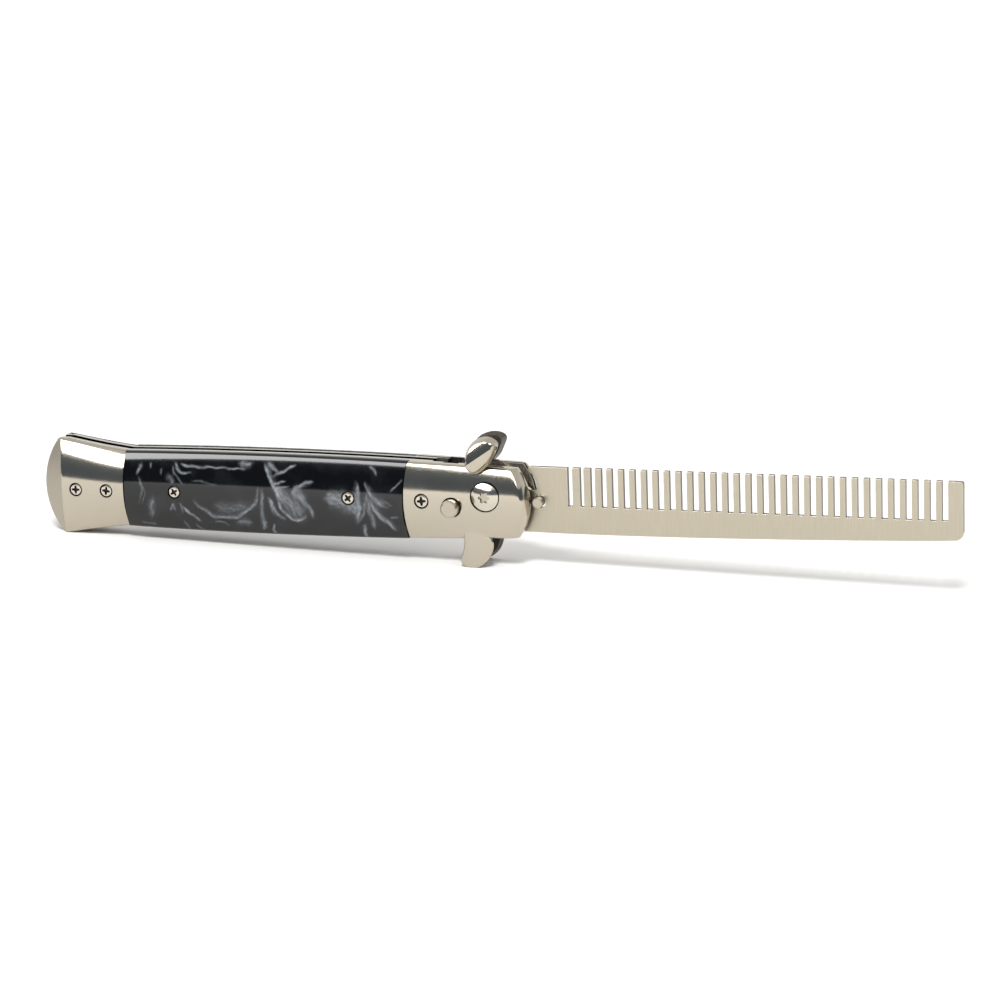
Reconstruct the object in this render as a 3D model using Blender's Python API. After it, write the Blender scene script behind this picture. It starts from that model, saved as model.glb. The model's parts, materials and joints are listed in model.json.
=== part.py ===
"""Folding pocket comb with a spring-opening handle, open and standing on its back edge.

The handle frame has its origin on the comb's pivot: X runs along the handle towards the
comb's tip, Y away from the viewer and Z towards the teeth. Everything is modelled there and
hangs on one empty, which tilts the comb onto its pommel and guard, as it stands by itself.
"""
import math

import bmesh
import bpy
from mathutils import Matrix, Vector

MM = 0.001
GAP = 0.3 * MM

# How the open comb stands: its tip end is high, and it rests this far below the pivot
STANCE_TILT = math.radians(2.13)
GROUND_DEPTH = 17.75 * MM

# Lengths along the handle, from the pivot
POMMEL_END = -115.9 * MM
POMMEL_CREASE = -110.2 * MM
POMMEL_JOINT = -93.3 * MM
BOLSTER_JOINT = -20.3 * MM
NOSE_END = 10.25 * MM
JOINT_BULGE = 0.4 * MM

# Outline of the handle seen from the side, above and below its centre line
AXIS_Z = -1.75 * MM
HALF_HEIGHT = 9.85 * MM
HALF_HEIGHT_AT = -58.0 * MM
NOSE_TAPER = 1.45 * MM
NOSE_TAPER_LENGTH = 65.8 * MM
POMMEL_FLARE = 2.62 * MM
POMMEL_FLARE_POWER = 1.2
POMMEL_END_RADIUS = 19.5 * MM
CREASE_BOW = 0.8 * MM
NOSE_RADIUS = 13.75 * MM
NOSE_RIM = 8.3 * MM

# Barrel-shaped cross-section of one side: its depth at the centre line, and how far the
# face falls away towards the rims before the rim's rounding
HALF_THICKNESS = 6.5 * MM
RIM_ROUNDING = 0.9 * MM
RIM_FALL = 0.7 * MM
POMMEL_FALL = 2.0 * MM
SCALE_FALL = 1.7 * MM
BOLSTER_FALL = 1.2 * MM
BARREL_STEPS = 7

# Places along the handle at which each piece has a cross-section, besides its two ends
POMMEL_STATIONS = (-97.5 * MM, -102.0 * MM, -106.5 * MM)
SCALE_STATIONS = (-84.0 * MM, -75.0 * MM, -66.0 * MM, -58.0 * MM, -49.0 * MM, -40.0 * MM,
                  -30.0 * MM)
BOLSTER_STATIONS = (-15.0 * MM, -9.0 * MM, -2.0 * MM)

# The pommel's end facet draws in to these shares of its height and depth
POMMEL_END_HEIGHT = 0.985
POMMEL_END_REACH = 0.16

# How the nose rounds off towards the comb
NOSE_ROUNDING = (
    # back from the nose, share of the depth
    (2.6 * MM, 1.0),
    (1.3 * MM, 0.84),
    (0.4 * MM, 0.62),
    (0.0, 0.40),
)

# Layers from the middle outwards: comb, slot, liner, side
COMB_HALF = 0.65 * MM
SLOT_HALF = COMB_HALF + GAP
LINER_OUTER = 2.4 * MM
LINER_POCKET = 1.9 * MM
LINER_INSET = 0.12 * MM
LINER_STATIONS = (-109.5 * MM, -105.0 * MM, -100.0 * MM, -93.3 * MM, -84.0 * MM, -72.0 * MM,
                  -58.0 * MM, -44.0 * MM, -32.0 * MM, -20.0 * MM, -8.0 * MM, 2.0 * MM)
LINER_CROWN_X = NOSE_END - 3.0 * MM
SIDE_INNER = LINER_OUTER + GAP

# Depths that cutters reach: past the comb, through a liner, and out over the highest piece
PAST_COMB = COMB_HALF + 1.0 * MM
LINER_HOLE_START = 0.5 * MM
LINER_HOLE_END = 3.0 * MM
OPEN_ABOVE = 9.0 * MM

# Comb blade: teeth up, its back curving up towards the tip
TEETH_TOP = 6.5 * MM
TEETH_ROOT = -2.8 * MM
TOOTH_COUNT = 32
FIRST_GAP = 18.87 * MM
FIRST_TOOTH = 20.0 * MM
END_BLOCK = 109.17 * MM
TIP_X = 112.7 * MM
TOOTH_WIDTH = 1.4 * MM
FIRST_TOOTH_EXTRA = 0.5 * MM
BACK_Z = -9.45 * MM
BACK_RISE = 2.05 * MM
BACK_RISE_FROM = 18.0 * MM
BACK_RISE_POWER = 1.8
TIP_CORNER = 2.0 * MM
TIP_TOP_CORNER = 0.6 * MM
BACK_STEPS = 10
SHOULDER_X = 9.0 * MM
SHOULDER_DROP = 1.5 * MM
HEEL_X = 8.5 * MM
HEEL_Z = -9.35 * MM
TANG_RADIUS = 6.3 * MM
TANG_START = -75
TANG_END = -325
NOTCH = (
    # along, up: hollow between the tang and the shoulder
    (9.6 * MM, 0.8 * MM),
    (10.8 * MM, 0.85 * MM),
    (11.2 * MM, 1.5 * MM),
    (11.15 * MM, 2.8 * MM),
    (10.6 * MM, 4.2 * MM),
    (9.7 * MM, 4.9 * MM),
)

# Stop pin through the comb's root, which meets the nose of the bolsters
PIN_X = 11.82 * MM
PIN_Z = -1.8 * MM
PIN_RADIUS = 1.27 * MM
PIN_HALF = 2.9 * MM
PIN_EDGE = 0.15 * MM
TRACK_ENTRY = 115

# Pivot, with a six-lobed recess in both heads
PIVOT_OVERLAP = 0.3 * MM
PIVOT_NUT_START = 1.0 * MM
PIVOT_SEAT_START = 2.0 * MM
STAR_RADIUS = 1.2 * MM
STAR_SWING = 0.22 * MM
STAR_DEPTH = 0.9 * MM
STAR_STEPS = 24
PIVOT_BOSS_RADIUS = 4.6 * MM
PIVOT_BOSS_REACH = 4.0 * MM
PIVOT_BARREL_RADIUS = 2.0 * MM
PIVOT_BORE_RADIUS = 1.3 * MM
PIVOT_SHANK_RADIUS = 1.0 * MM
PIVOT_HEAD_RADIUS = 3.35 * MM
PIVOT_HEAD_SEAT = 5.3 * MM
PIVOT_HEAD_EDGE = 6.35 * MM
PIVOT_HEAD_TOP = 7.3 * MM

# Push button beside the pivot
BUTTON_X = -8.4 * MM
BUTTON_Z = -2.8 * MM
BUTTON_RADIUS = 2.15 * MM
BUTTON_FLANGE_RADIUS = 2.9 * MM
BUTTON_FLANGE_INNER = 1.8 * MM
BUTTON_HOLE_START = 2.0 * MM
BUTTON_FACE = 8.7 * MM
BUTTON_CHAMFER = 0.4 * MM

# Guard ears, drawn about a point on the centre line and repeated turned by half a turn
GUARD_X = -2.0 * MM
EAR_INNER = PIN_HALF + GAP
EAR_TOP = 7.4 * MM
EAR_OUTLINE = (
    # across, up
    (0.0 * MM, 6.9 * MM),
    (2.3 * MM, 8.3 * MM),
    (3.8 * MM, 10.3 * MM),
    (4.5 * MM, 12.4 * MM),
    (4.85 * MM, 14.3 * MM),
    (3.9 * MM, 15.7 * MM),
    (1.7 * MM, 16.15 * MM),
    (-0.8 * MM, 15.35 * MM),
    (-2.6 * MM, 13.5 * MM),
    (-3.7 * MM, 10.6 * MM),
    (-3.2 * MM, 8.4 * MM),
    (-1.8 * MM, 7.2 * MM),
)
EAR_MIDDLE = (0.5 * MM, 11.2 * MM)
EAR_DOME = (
    # share of the depth, share of the outline
    (0.0, 0.96),
    (0.08, 1.0),
    (0.48, 1.0),
    (0.78, 0.88),
    (0.94, 0.66),
    (1.0, 0.36),
)

# Countersunk cross-head screws on each face: name, place along the handle and above the
# centre line, head radius, turn of the cross
SCREWS = (
    ("pommel_screw_1", -106.4 * MM, -0.3 * MM, 1.42 * MM, 3.0),
    ("pommel_screw_2", -98.2 * MM, -0.35 * MM, 1.42 * MM, -5.0),
    ("scale_screw_1", -80.0 * MM, 0.0 * MM, 1.35 * MM, 35.0),
    ("scale_screw_2", -34.6 * MM, 0.2 * MM, 1.42 * MM, 40.0),
    ("bolster_screw", -15.9 * MM, 0.2 * MM, 1.55 * MM, 7.0),
)
SCREW_HEAD_TOP = 6.45 * MM
SCREW_HEAD_DEPTH = 1.1 * MM
SCREW_SHANK_RADIUS = 0.8 * MM
SCREW_END = 1.3 * MM
SCREW_HOLE_START = 1.0 * MM
SCREW_RIM = 0.15 * MM
SCREW_FLAT = 0.8
SCREW_SIDES = 12
CROSS_REACH = 0.85 * MM
CROSS_HALF_WIDTH = 0.2 * MM
CROSS_DEPTH = 0.6 * MM

# Closing strip along the handle's back, and its hook inside the pommel's end
SPACER_HALF = 0.65 * MM
SPACER_TOP = -6.85 * MM
SPACER_FRONT = -14.6 * MM
SPACER_INSET = 0.5 * MM
SPACER_HEEL = 11.0 * MM
SPACER_STATIONS = (-108.0 * MM, -100.0 * MM, -93.3 * MM, -80.0 * MM, -66.0 * MM, -50.0 * MM,
                   -35.0 * MM, -24.0 * MM, SPACER_FRONT)
HOOK_RADIUS = 113.4 * MM
HOOK_TOP = 4.5 * MM

# Slab below the comb that grinds its feet flat
GROUND_LENGTH = 160.0 * MM
GROUND_SIZE = 20.0 * MM

COLLECTION = "folding_comb"
FRONT = -1
REAR = 1


def clear_scene():
    """Remove everything that the file opened with."""
    for old in list(bpy.data.objects):
        bpy.data.objects.remove(old, do_unlink=True)


def new_collection(name):
    """Make a collection in the scene."""
    made = bpy.data.collections.new(name)
    bpy.context.scene.collection.children.link(made)
    return made


def make_material(name, colour, metallic, roughness):
    """Make a plain Principled material."""
    made = bpy.data.materials.new(name)
    made.use_nodes = True
    shader = made.node_tree.nodes["Principled BSDF"]
    shader.inputs["Base Color"].default_value = (*colour, 1.0)
    shader.inputs["Metallic"].default_value = metallic
    shader.inputs["Roughness"].default_value = roughness
    return made


class Workshop:
    """Holds what every piece is made with: collections, materials and the tilted empty."""

    def __init__(self):
        self.pieces = new_collection(COLLECTION)
        self.tools = new_collection(COLLECTION + "_cutters")
        self.stance = bpy.data.objects.new("stance", None)
        self.stance.rotation_euler = (0.0, -STANCE_TILT, 0.0)
        self.pieces.objects.link(self.stance)
        self.steel = make_material("polished_steel", (0.78, 0.76, 0.72), 1.0, 0.15)
        self.brushed = make_material("brushed_steel", (0.72, 0.70, 0.64), 1.0, 0.35)
        self.acrylic = make_material("black_acrylic", (0.02, 0.02, 0.022), 0.0, 0.12)

    def add(self, name, bm, material):
        """Turn a bmesh into a piece of the comb."""
        made = self._link(name, bm, self.pieces)
        made.data.materials.append(material)
        made.data.shade_smooth()
        made.data.set_sharp_from_angle(angle=math.radians(30))
        return made

    def cutter(self, name, bm):
        """Turn a bmesh into a hidden cutter."""
        made = self._link(name, bm, self.tools)
        made.hide_render = True
        made.display_type = "WIRE"
        return made

    def _link(self, name, bm, collection):
        bmesh.ops.recalc_face_normals(bm, faces=bm.faces)
        mesh = bpy.data.meshes.new(name)
        bm.to_mesh(mesh)
        bm.free()
        made = bpy.data.objects.new(name, mesh)
        made.parent = self.stance
        collection.objects.link(made)
        return made


def boolean(target, tool, operation="DIFFERENCE"):
    """Cut a piece with a hidden tool, or join the tool to it."""
    modifier = target.modifiers.new(tool.name, "BOOLEAN")
    modifier.operation = operation
    modifier.solver = "EXACT"
    modifier.object = tool


# Outlines of the handle


def half_height(x):
    """Half of the handle's height at a place along it."""
    if x < POMMEL_JOINT:
        share = (POMMEL_JOINT - x) / (POMMEL_JOINT - POMMEL_CREASE)
        return half_height(POMMEL_JOINT) + POMMEL_FLARE * share ** POMMEL_FLARE_POWER
    return HALF_HEIGHT - NOSE_TAPER * ((x - HALF_HEIGHT_AT) / NOSE_TAPER_LENGTH) ** 2


def pommel_end_x(z):
    """Arc of the pommel's end, at a height above the centre line."""
    return POMMEL_END + POMMEL_END_RADIUS - math.sqrt(POMMEL_END_RADIUS ** 2 - z ** 2)


def nose_x(z):
    """Arc of the bolster's nose, at a height above the centre line."""
    return NOSE_END - NOSE_RADIUS + math.sqrt(NOSE_RADIUS ** 2 - z ** 2)


def side_profile(height, fall):
    """Outer face of one side as (depth, height above the centre line), bottom to top."""
    straight = height - RIM_ROUNDING
    barrel_radius = (straight ** 2 + fall ** 2) / (2 * fall)
    middle = HALF_THICKNESS - barrel_radius
    points = []
    for step in range(BARREL_STEPS + 1):
        z = straight * (2 * step / BARREL_STEPS - 1)
        points.append((middle + math.sqrt(barrel_radius ** 2 - z ** 2), z))
    edge = HALF_THICKNESS - fall
    rounding = []
    for angle in (45, 90):
        turn = math.radians(angle)
        depth = edge - RIM_FALL * (1 - math.cos(turn))
        rounding.append((depth, straight + RIM_ROUNDING * math.sin(turn)))
    bottom = [(depth, -z) for depth, z in reversed(rounding)]
    return bottom + points + rounding


def side_ring(side, height, fall, place, reach=1.0):
    """One cross-section ring of a side: outer points at place(z), drawn in by reach."""
    ring = []
    for depth, z in side_profile(height, fall):
        drawn = SIDE_INNER + (depth - SIDE_INNER) * reach
        ring.append(Vector((place(z), side * drawn, AXIS_Z + z)))
    return ring


def loft_side(rings, side):
    """Solid between outer rings and the flat inner face that lies on the liner."""
    bm = bmesh.new()
    outer = [[bm.verts.new(point) for point in ring] for ring in rings]
    inner = [
        [bm.verts.new((point.x, side * SIDE_INNER, point.z)) for point in ring]
        for ring in rings
    ]
    last = len(rings[0]) - 1
    for row in range(len(rings) - 1):
        for grid in (outer, inner):
            for i in range(last):
                bm.faces.new((grid[row][i], grid[row][i + 1],
                              grid[row + 1][i + 1], grid[row + 1][i]))
        for i in (0, last):
            bm.faces.new((outer[row][i], outer[row + 1][i],
                          inner[row + 1][i], inner[row][i]))
    for row in (0, -1):
        for i in range(last):
            bm.faces.new((outer[row][i], outer[row][i + 1],
                          inner[row][i + 1], inner[row][i]))
    return bm


# Simple shapes


def turned(profile, x, z, side, steps=16):
    """Solid turned about the Y axis through (x, z): profile rows are (radius, depth)."""
    bm = bmesh.new()
    rings = []
    for radius, depth in profile:
        if radius == 0.0:
            rings.append([bm.verts.new((x, side * depth, z))])
            continue
        ring = []
        for step in range(steps):
            turn = math.tau * step / steps
            place = (x + radius * math.cos(turn), side * depth, z + radius * math.sin(turn))
            ring.append(bm.verts.new(place))
        rings.append(ring)
    for low, high in zip(rings, rings[1:]):
        for step in range(steps):
            following = (step + 1) % steps
            corners = [low[step % len(low)], low[following % len(low)],
                       high[following % len(high)], high[step % len(high)]]
            bm.faces.new(list(dict.fromkeys(corners)))
    return bm


def drum(radius, low, high, x, z, side, steps=16):
    """Cylinder across the handle, from one depth to another."""
    bm = bmesh.new()
    turn = Matrix.Rotation(math.radians(90), 4, "X")
    middle = Matrix.Translation((x, side * (low + high) / 2, z))
    bmesh.ops.create_cone(bm, cap_ends=True, segments=steps, radius1=radius,
                          radius2=radius, depth=high - low, matrix=middle @ turn)
    return bm


def block(low, high):
    """Box between two corners."""
    bm = bmesh.new()
    size = Vector(high) - Vector(low)
    middle = Matrix.Translation((Vector(low) + Vector(high)) / 2)
    bmesh.ops.create_cube(bm, size=1.0, matrix=middle @ Matrix.Diagonal((*size, 1.0)))
    return bm


def plate(outline, low, high):
    """Flat outline of (x, z) points, filled and given a thickness between two depths."""
    curve = bpy.data.curves.new("outline", "CURVE")
    curve.dimensions = "2D"
    curve.fill_mode = "BOTH"
    curve.extrude = (high - low) / 2
    spline = curve.splines.new("POLY")
    spline.points.add(len(outline) - 1)
    for point, (x, z) in zip(spline.points, outline):
        point.co = (x, z, 0.0, 1.0)
    spline.use_cyclic_u = True
    holder = bpy.data.objects.new("outline", curve)
    bpy.context.scene.collection.objects.link(holder)
    bpy.context.view_layer.update()
    evaluated = holder.evaluated_get(bpy.context.evaluated_depsgraph_get())
    mesh = bpy.data.meshes.new_from_object(evaluated)
    bm = bmesh.new()
    bm.from_mesh(mesh)
    bpy.data.meshes.remove(mesh)
    bpy.data.objects.remove(holder, do_unlink=True)
    bpy.data.curves.remove(curve)
    bmesh.ops.remove_doubles(bm, verts=bm.verts, dist=0.001 * MM)
    upright = Matrix.Rotation(math.radians(90), 4, "X")
    shift = Matrix.Translation((0.0, (low + high) / 2, 0.0))
    bmesh.ops.transform(bm, matrix=shift @ upright, verts=bm.verts)
    return bm


def arc(middle, radius, start, end, steps):
    """Points on an arc, its angles in degrees from +X towards +Z."""
    points = []
    for step in range(steps + 1):
        turn = math.radians(start + (end - start) * step / steps)
        points.append((middle[0] + radius * math.cos(turn),
                       middle[1] + radius * math.sin(turn)))
    return points


def smooth_loop(points, steps):
    """Closed Catmull-Rom curve through points, with steps on each span."""
    vectors = [Vector(point) for point in points]
    count = len(vectors)
    smooth = []
    for i in range(count):
        before, here, after, beyond = (vectors[(i + k) % count] for k in (-1, 0, 1, 2))
        for step in range(steps):
            t = step / steps
            smooth.append(0.5 * (2 * here + (after - before) * t
                                 + (2 * before - 5 * here + 4 * after - beyond) * t ** 2
                                 + (3 * here - before - 3 * after + beyond) * t ** 3))
    return smooth


# Comb


def tooth_pitch():
    """Distance from one tooth to the next."""
    return (END_BLOCK - FIRST_TOOTH) / TOOTH_COUNT


def tooth_width(index):
    """Width of a tooth: the first three are stouter."""
    return TOOTH_WIDTH + FIRST_TOOTH_EXTRA * max(0.0, 1 - index / 3)


def back_z(x):
    """Height of the comb's back, which rises towards the tip."""
    share = max(0.0, (x - BACK_RISE_FROM) / (END_BLOCK - BACK_RISE_FROM))
    return BACK_Z + BACK_RISE * share ** BACK_RISE_POWER


def comb_outline():
    """Outline of the comb, clockwise from its shoulder at the nose."""
    corner = TIP_TOP_CORNER
    points = [(SHOULDER_X, TEETH_TOP - SHOULDER_DROP)]
    points += arc((SHOULDER_X + corner, TEETH_TOP - corner), corner, 180, 90, 2)
    gap_start = FIRST_GAP
    for index in range(TOOTH_COUNT + 1):
        tooth = FIRST_TOOTH + index * tooth_pitch()
        points += [(gap_start, TEETH_TOP), (gap_start, TEETH_ROOT),
                   (tooth, TEETH_ROOT), (tooth, TEETH_TOP)]
        gap_start = tooth + tooth_width(index)
    points += arc((TIP_X - corner, TEETH_TOP - corner), corner, 90, 0, 2)
    low = back_z(TIP_X) + TIP_CORNER
    points += arc((TIP_X - TIP_CORNER, low), TIP_CORNER, 0, -90, 4)
    for step in range(BACK_STEPS + 1):
        share = step / BACK_STEPS
        x = (TIP_X - TIP_CORNER) * (1 - share) + BACK_RISE_FROM * share
        points.append((x, back_z(x)))
    points.append((HEEL_X, HEEL_Z))
    points += arc((0.0, 0.0), TANG_RADIUS, TANG_START, TANG_END, 20)
    points += NOTCH
    return remove_repeats(points)


def remove_repeats(points):
    """Drop points that repeat the one before."""
    kept = []
    for point in points:
        if not kept or (Vector(point) - Vector(kept[-1])).length > 0.01 * MM:
            kept.append(point)
    return kept


def make_comb(shop):
    """Comb blade with its tang, and the stop pin through its root."""
    comb = shop.add("comb", plate(comb_outline(), -COMB_HALF, COMB_HALF), shop.brushed)
    pivot_hole = drum(PIVOT_BARREL_RADIUS + GAP, -PAST_COMB, PAST_COMB, 0.0, 0.0, REAR, 20)
    boolean(comb, shop.cutter("comb_pivot_hole", pivot_hole))
    pin_hole = drum(PIN_RADIUS + GAP, -PAST_COMB, PAST_COMB, PIN_X, PIN_Z, REAR)
    boolean(comb, shop.cutter("comb_pin_hole", pin_hole))
    profile = ((0.0, -PIN_HALF), (PIN_RADIUS - PIN_EDGE, -PIN_HALF),
               (PIN_RADIUS, PIN_EDGE - PIN_HALF), (PIN_RADIUS, PIN_HALF - PIN_EDGE),
               (PIN_RADIUS - PIN_EDGE, PIN_HALF), (0.0, PIN_HALF))
    shop.add("stop_pin", turned(profile, PIN_X, PIN_Z, REAR), shop.brushed)


# Handle


def liner_outline():
    """Outline of a liner: the handle's own, drawn in a little."""
    inset = LINER_INSET
    top = [(x, half_height(x) - inset) for x in LINER_STATIONS]
    bottom = [(x, -z) for x, z in reversed(top)]
    nose = []
    crown = half_height(LINER_CROWN_X) - inset
    for share in (1.0, 0.75, 0.5, 0.25, 0.0, -0.25, -0.5, -0.75, -1.0):
        nose.append((nose_x(crown * share) - 2 * inset, crown * share))
    end = []
    heel = half_height(POMMEL_CREASE) - 2 * inset
    for share in (-1.0, -0.7, -0.35, 0.0, 0.35, 0.7, 1.0):
        end.append((pommel_end_x(heel * share) + 2 * inset, heel * share))
    return [(x, AXIS_Z + z) for x, z in top + nose + bottom + end]


def pin_track():
    """Path that the stop pin sweeps inside the handle, as a closed outline."""
    distance = math.hypot(PIN_X, PIN_Z)
    reach = PIN_RADIUS + GAP
    rest = 180 + math.degrees(math.atan2(PIN_Z, PIN_X))
    points = arc((0.0, 0.0), distance + reach, TRACK_ENTRY, rest, 6)
    points += arc((-PIN_X, -PIN_Z), reach, rest, rest + 180, 6)
    points += arc((0.0, 0.0), distance - reach, rest, TRACK_ENTRY, 6)
    return remove_repeats(points)


def layer(side, low, high):
    """Depths of a layer on one side, lowest first."""
    return sorted((side * low, side * high))


def side_name(side):
    """Word for a side in a piece's name."""
    return "front" if side == FRONT else "rear"


def make_liner(shop, side):
    """Steel liner plate, milled thinner round the pivot's boss."""
    word = side_name(side)
    liner = shop.add("liner_" + word, plate(liner_outline(), *layer(side, SLOT_HALF, LINER_OUTER)),
                     shop.brushed)
    pocket_depth = layer(side, 0.0, LINER_POCKET)
    reach = 2 * GROUND_SIZE
    pocket = shop.cutter("liner_pocket_" + word,
                         block((SPACER_FRONT + GAP, pocket_depth[0], -reach),
                               (reach, pocket_depth[1], reach)))
    boss = shop.cutter("liner_boss_" + word,
                       drum(PIVOT_BOSS_RADIUS, -PIVOT_BOSS_REACH, PIVOT_BOSS_REACH,
                            0.0, 0.0, side, 24))
    boolean(pocket, boss)
    boolean(liner, pocket)
    holes = [("pivot", 0.0, 0.0, PIVOT_BARREL_RADIUS + GAP, 20)]
    if side == FRONT:
        holes.append(("button", BUTTON_X, BUTTON_Z, BUTTON_FLANGE_RADIUS + GAP, 20))
    for name, x, z, _, _ in SCREWS:
        holes.append((name, x, AXIS_Z + z, SCREW_SHANK_RADIUS + GAP, 10))
    for name, x, z, radius, steps in holes:
        hole = drum(radius, LINER_HOLE_START, LINER_HOLE_END, x, z, side, steps)
        boolean(liner, shop.cutter("liner_hole_" + name + "_" + word, hole))
    track = plate(pin_track(), *layer(side, 0.0, EAR_INNER))
    boolean(liner, shop.cutter("liner_track_" + word, track))


def cut_screw_holes(shop, piece, side, names):
    """Through holes with countersinks for the screws of one piece."""
    for name, x, z, head, _ in SCREWS:
        if not name.startswith(names):
            continue
        seat = SCREW_HEAD_TOP - SCREW_HEAD_DEPTH - GAP
        profile = ((0.0, SCREW_HOLE_START), (SCREW_SHANK_RADIUS + GAP, SCREW_HOLE_START),
                   (SCREW_SHANK_RADIUS + GAP, seat), (head + GAP, seat),
                   (head + GAP, OPEN_ABOVE), (0.0, OPEN_ABOVE))
        tool = turned(profile, x, AXIS_Z + z, side, SCREW_SIDES)
        boolean(piece, shop.cutter("hole_" + name + "_" + side_name(side), tool))


def ground_cutter(shop, name):
    """Slab under the surface that the open comb stands on."""
    tool = shop.cutter(name, block((-GROUND_LENGTH, -GROUND_SIZE, -GROUND_SIZE),
                                   (GROUND_LENGTH, GROUND_SIZE, 0.0)))
    tool.rotation_euler = (0.0, STANCE_TILT, 0.0)
    tool.location = (GROUND_DEPTH * math.sin(-STANCE_TILT), 0.0,
                     -GROUND_DEPTH * math.cos(STANCE_TILT))
    return tool


def make_pommel(shop, side):
    """Flared end cap of one side, faceted at its end."""
    height = half_height(POMMEL_CREASE)
    rings = []
    for x in (POMMEL_JOINT - GAP, *POMMEL_STATIONS):
        rings.append(side_ring(side, half_height(x), POMMEL_FALL, lambda z, x=x: x))
    rings.append(side_ring(side, height, POMMEL_FALL,
                           lambda z: POMMEL_CREASE - CREASE_BOW * (z / height) ** 2))
    rings.append(side_ring(side, POMMEL_END_HEIGHT * height, POMMEL_FALL, pommel_end_x,
                           POMMEL_END_REACH))
    name = "pommel_" + side_name(side)
    pommel = shop.add(name, loft_side(rings, side), shop.steel)
    cut_screw_holes(shop, pommel, side, "pommel")
    boolean(pommel, ground_cutter(shop, name + "_ground"))


def bolster_joint_x(z):
    """Joint between scale and bolster, which bows a little towards the pommel."""
    share = z / half_height(BOLSTER_JOINT)
    return BOLSTER_JOINT - JOINT_BULGE * (1 - share ** 2)


def make_scale(shop, side):
    """Acrylic grip scale of one side."""
    rings = []
    for x in (POMMEL_JOINT, *SCALE_STATIONS):
        rings.append(side_ring(side, half_height(x), SCALE_FALL, lambda z, x=x: x))
    rings.append(side_ring(side, half_height(BOLSTER_JOINT), SCALE_FALL,
                           lambda z: bolster_joint_x(z) - GAP))
    scale = shop.add("scale_" + side_name(side), loft_side(rings, side), shop.acrylic)
    cut_screw_holes(shop, scale, side, "scale")


def make_ear(side, turned_over):
    """Domed guard ear: rings of one outline that shrink towards the crown."""
    outline = smooth_loop(EAR_OUTLINE, 2)
    middle = Vector(EAR_MIDDLE)
    sign = -1.0 if turned_over else 1.0
    bm = bmesh.new()
    rings = []
    for depth_share, size in EAR_DOME:
        depth = EAR_INNER + (EAR_TOP - EAR_INNER) * depth_share
        ring = []
        for point in outline:
            at = (middle + (point - middle) * size) * sign
            ring.append(bm.verts.new((GUARD_X + at.x, side * depth, AXIS_Z + at.y)))
        rings.append(ring)
    count = len(outline)
    for low, high in zip(rings, rings[1:]):
        for i in range(count):
            j = (i + 1) % count
            bm.faces.new((low[i], low[j], high[j], high[i]))
    bm.faces.new(rings[0])
    bm.faces.new(rings[-1])
    return bm


def make_bolster(shop, side):
    """Front bolster of one side with its two guard ears, cast in one."""
    word = side_name(side)
    rings = [side_ring(side, half_height(BOLSTER_JOINT), BOLSTER_FALL, bolster_joint_x)]
    for x in BOLSTER_STATIONS:
        rings.append(side_ring(side, half_height(x), BOLSTER_FALL, lambda z, x=x: x))
    for back, reach in NOSE_ROUNDING:
        height = half_height(nose_x(NOSE_RIM) - back)
        rings.append(side_ring(side, height, BOLSTER_FALL,
                               lambda z, back=back: nose_x(z) - back, reach))
    name = "bolster_" + word
    bolster = shop.add(name, loft_side(rings, side), shop.steel)
    for end, turned_over in (("upper", False), ("lower", True)):
        ear = shop.cutter(name + "_ear_" + end, make_ear(side, turned_over))
        boolean(bolster, ear, "UNION")
    boolean(bolster, ground_cutter(shop, name + "_ground"))
    cut_screw_holes(shop, bolster, side, "bolster")
    bore = PIVOT_BARREL_RADIUS + GAP
    rim = PIVOT_HEAD_RADIUS + GAP
    pivot = ((0.0, PIVOT_SEAT_START), (bore, PIVOT_SEAT_START), (bore, PIVOT_HEAD_SEAT),
             (rim, PIVOT_HEAD_SEAT), (rim, OPEN_ABOVE), (0.0, OPEN_ABOVE))
    boolean(bolster, shop.cutter(name + "_pivot_seat", turned(pivot, 0.0, 0.0, side, 24)))
    if side == FRONT:
        hole = drum(BUTTON_RADIUS + GAP, BUTTON_HOLE_START, OPEN_ABOVE, BUTTON_X, BUTTON_Z,
                    side, 20)
        boolean(bolster, shop.cutter(name + "_button_hole", hole))
    track = plate(pin_track(), *layer(side, 0.0, EAR_INNER))
    boolean(bolster, shop.cutter(name + "_track", track))


def make_spacer(shop):
    """Strip that closes the handle's back and hooks round the folded comb's tip."""
    points = [(SPACER_FRONT, SPACER_TOP)]
    foot = math.degrees(math.asin(SPACER_TOP / HOOK_RADIUS))
    head = math.degrees(math.asin(HOOK_TOP / HOOK_RADIUS))
    points += arc((0.0, 0.0), HOOK_RADIUS, 180 - foot, 180 - head, 5)
    for share in (1.0, 0.66, 0.33, 0.0, -0.33, -0.66, -1.0):
        z = (HOOK_TOP - AXIS_Z) * share if share > 0 else SPACER_HEEL * share
        points.append((pommel_end_x(z) + SPACER_INSET, AXIS_Z + z))
    for x in SPACER_STATIONS:
        points.append((x, AXIS_Z - half_height(x) + SPACER_INSET))
    shop.add("spacer", plate(points, -SPACER_HALF, SPACER_HALF), shop.brushed)


# Fasteners and button


def cross_outline(x, z, angle):
    """Outline of a cross recess about (x, z), turned by an angle."""
    long, thin = CROSS_REACH, CROSS_HALF_WIDTH
    corners = []
    for quarter in range(4):
        corners += [((long, -thin), quarter), ((long, thin), quarter), ((thin, thin), quarter)]
    points = []
    for (across, up), quarter in corners:
        turn = math.radians(90 * quarter + angle)
        points.append((x + across * math.cos(turn) - up * math.sin(turn),
                       z + across * math.sin(turn) + up * math.cos(turn)))
    return points


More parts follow.
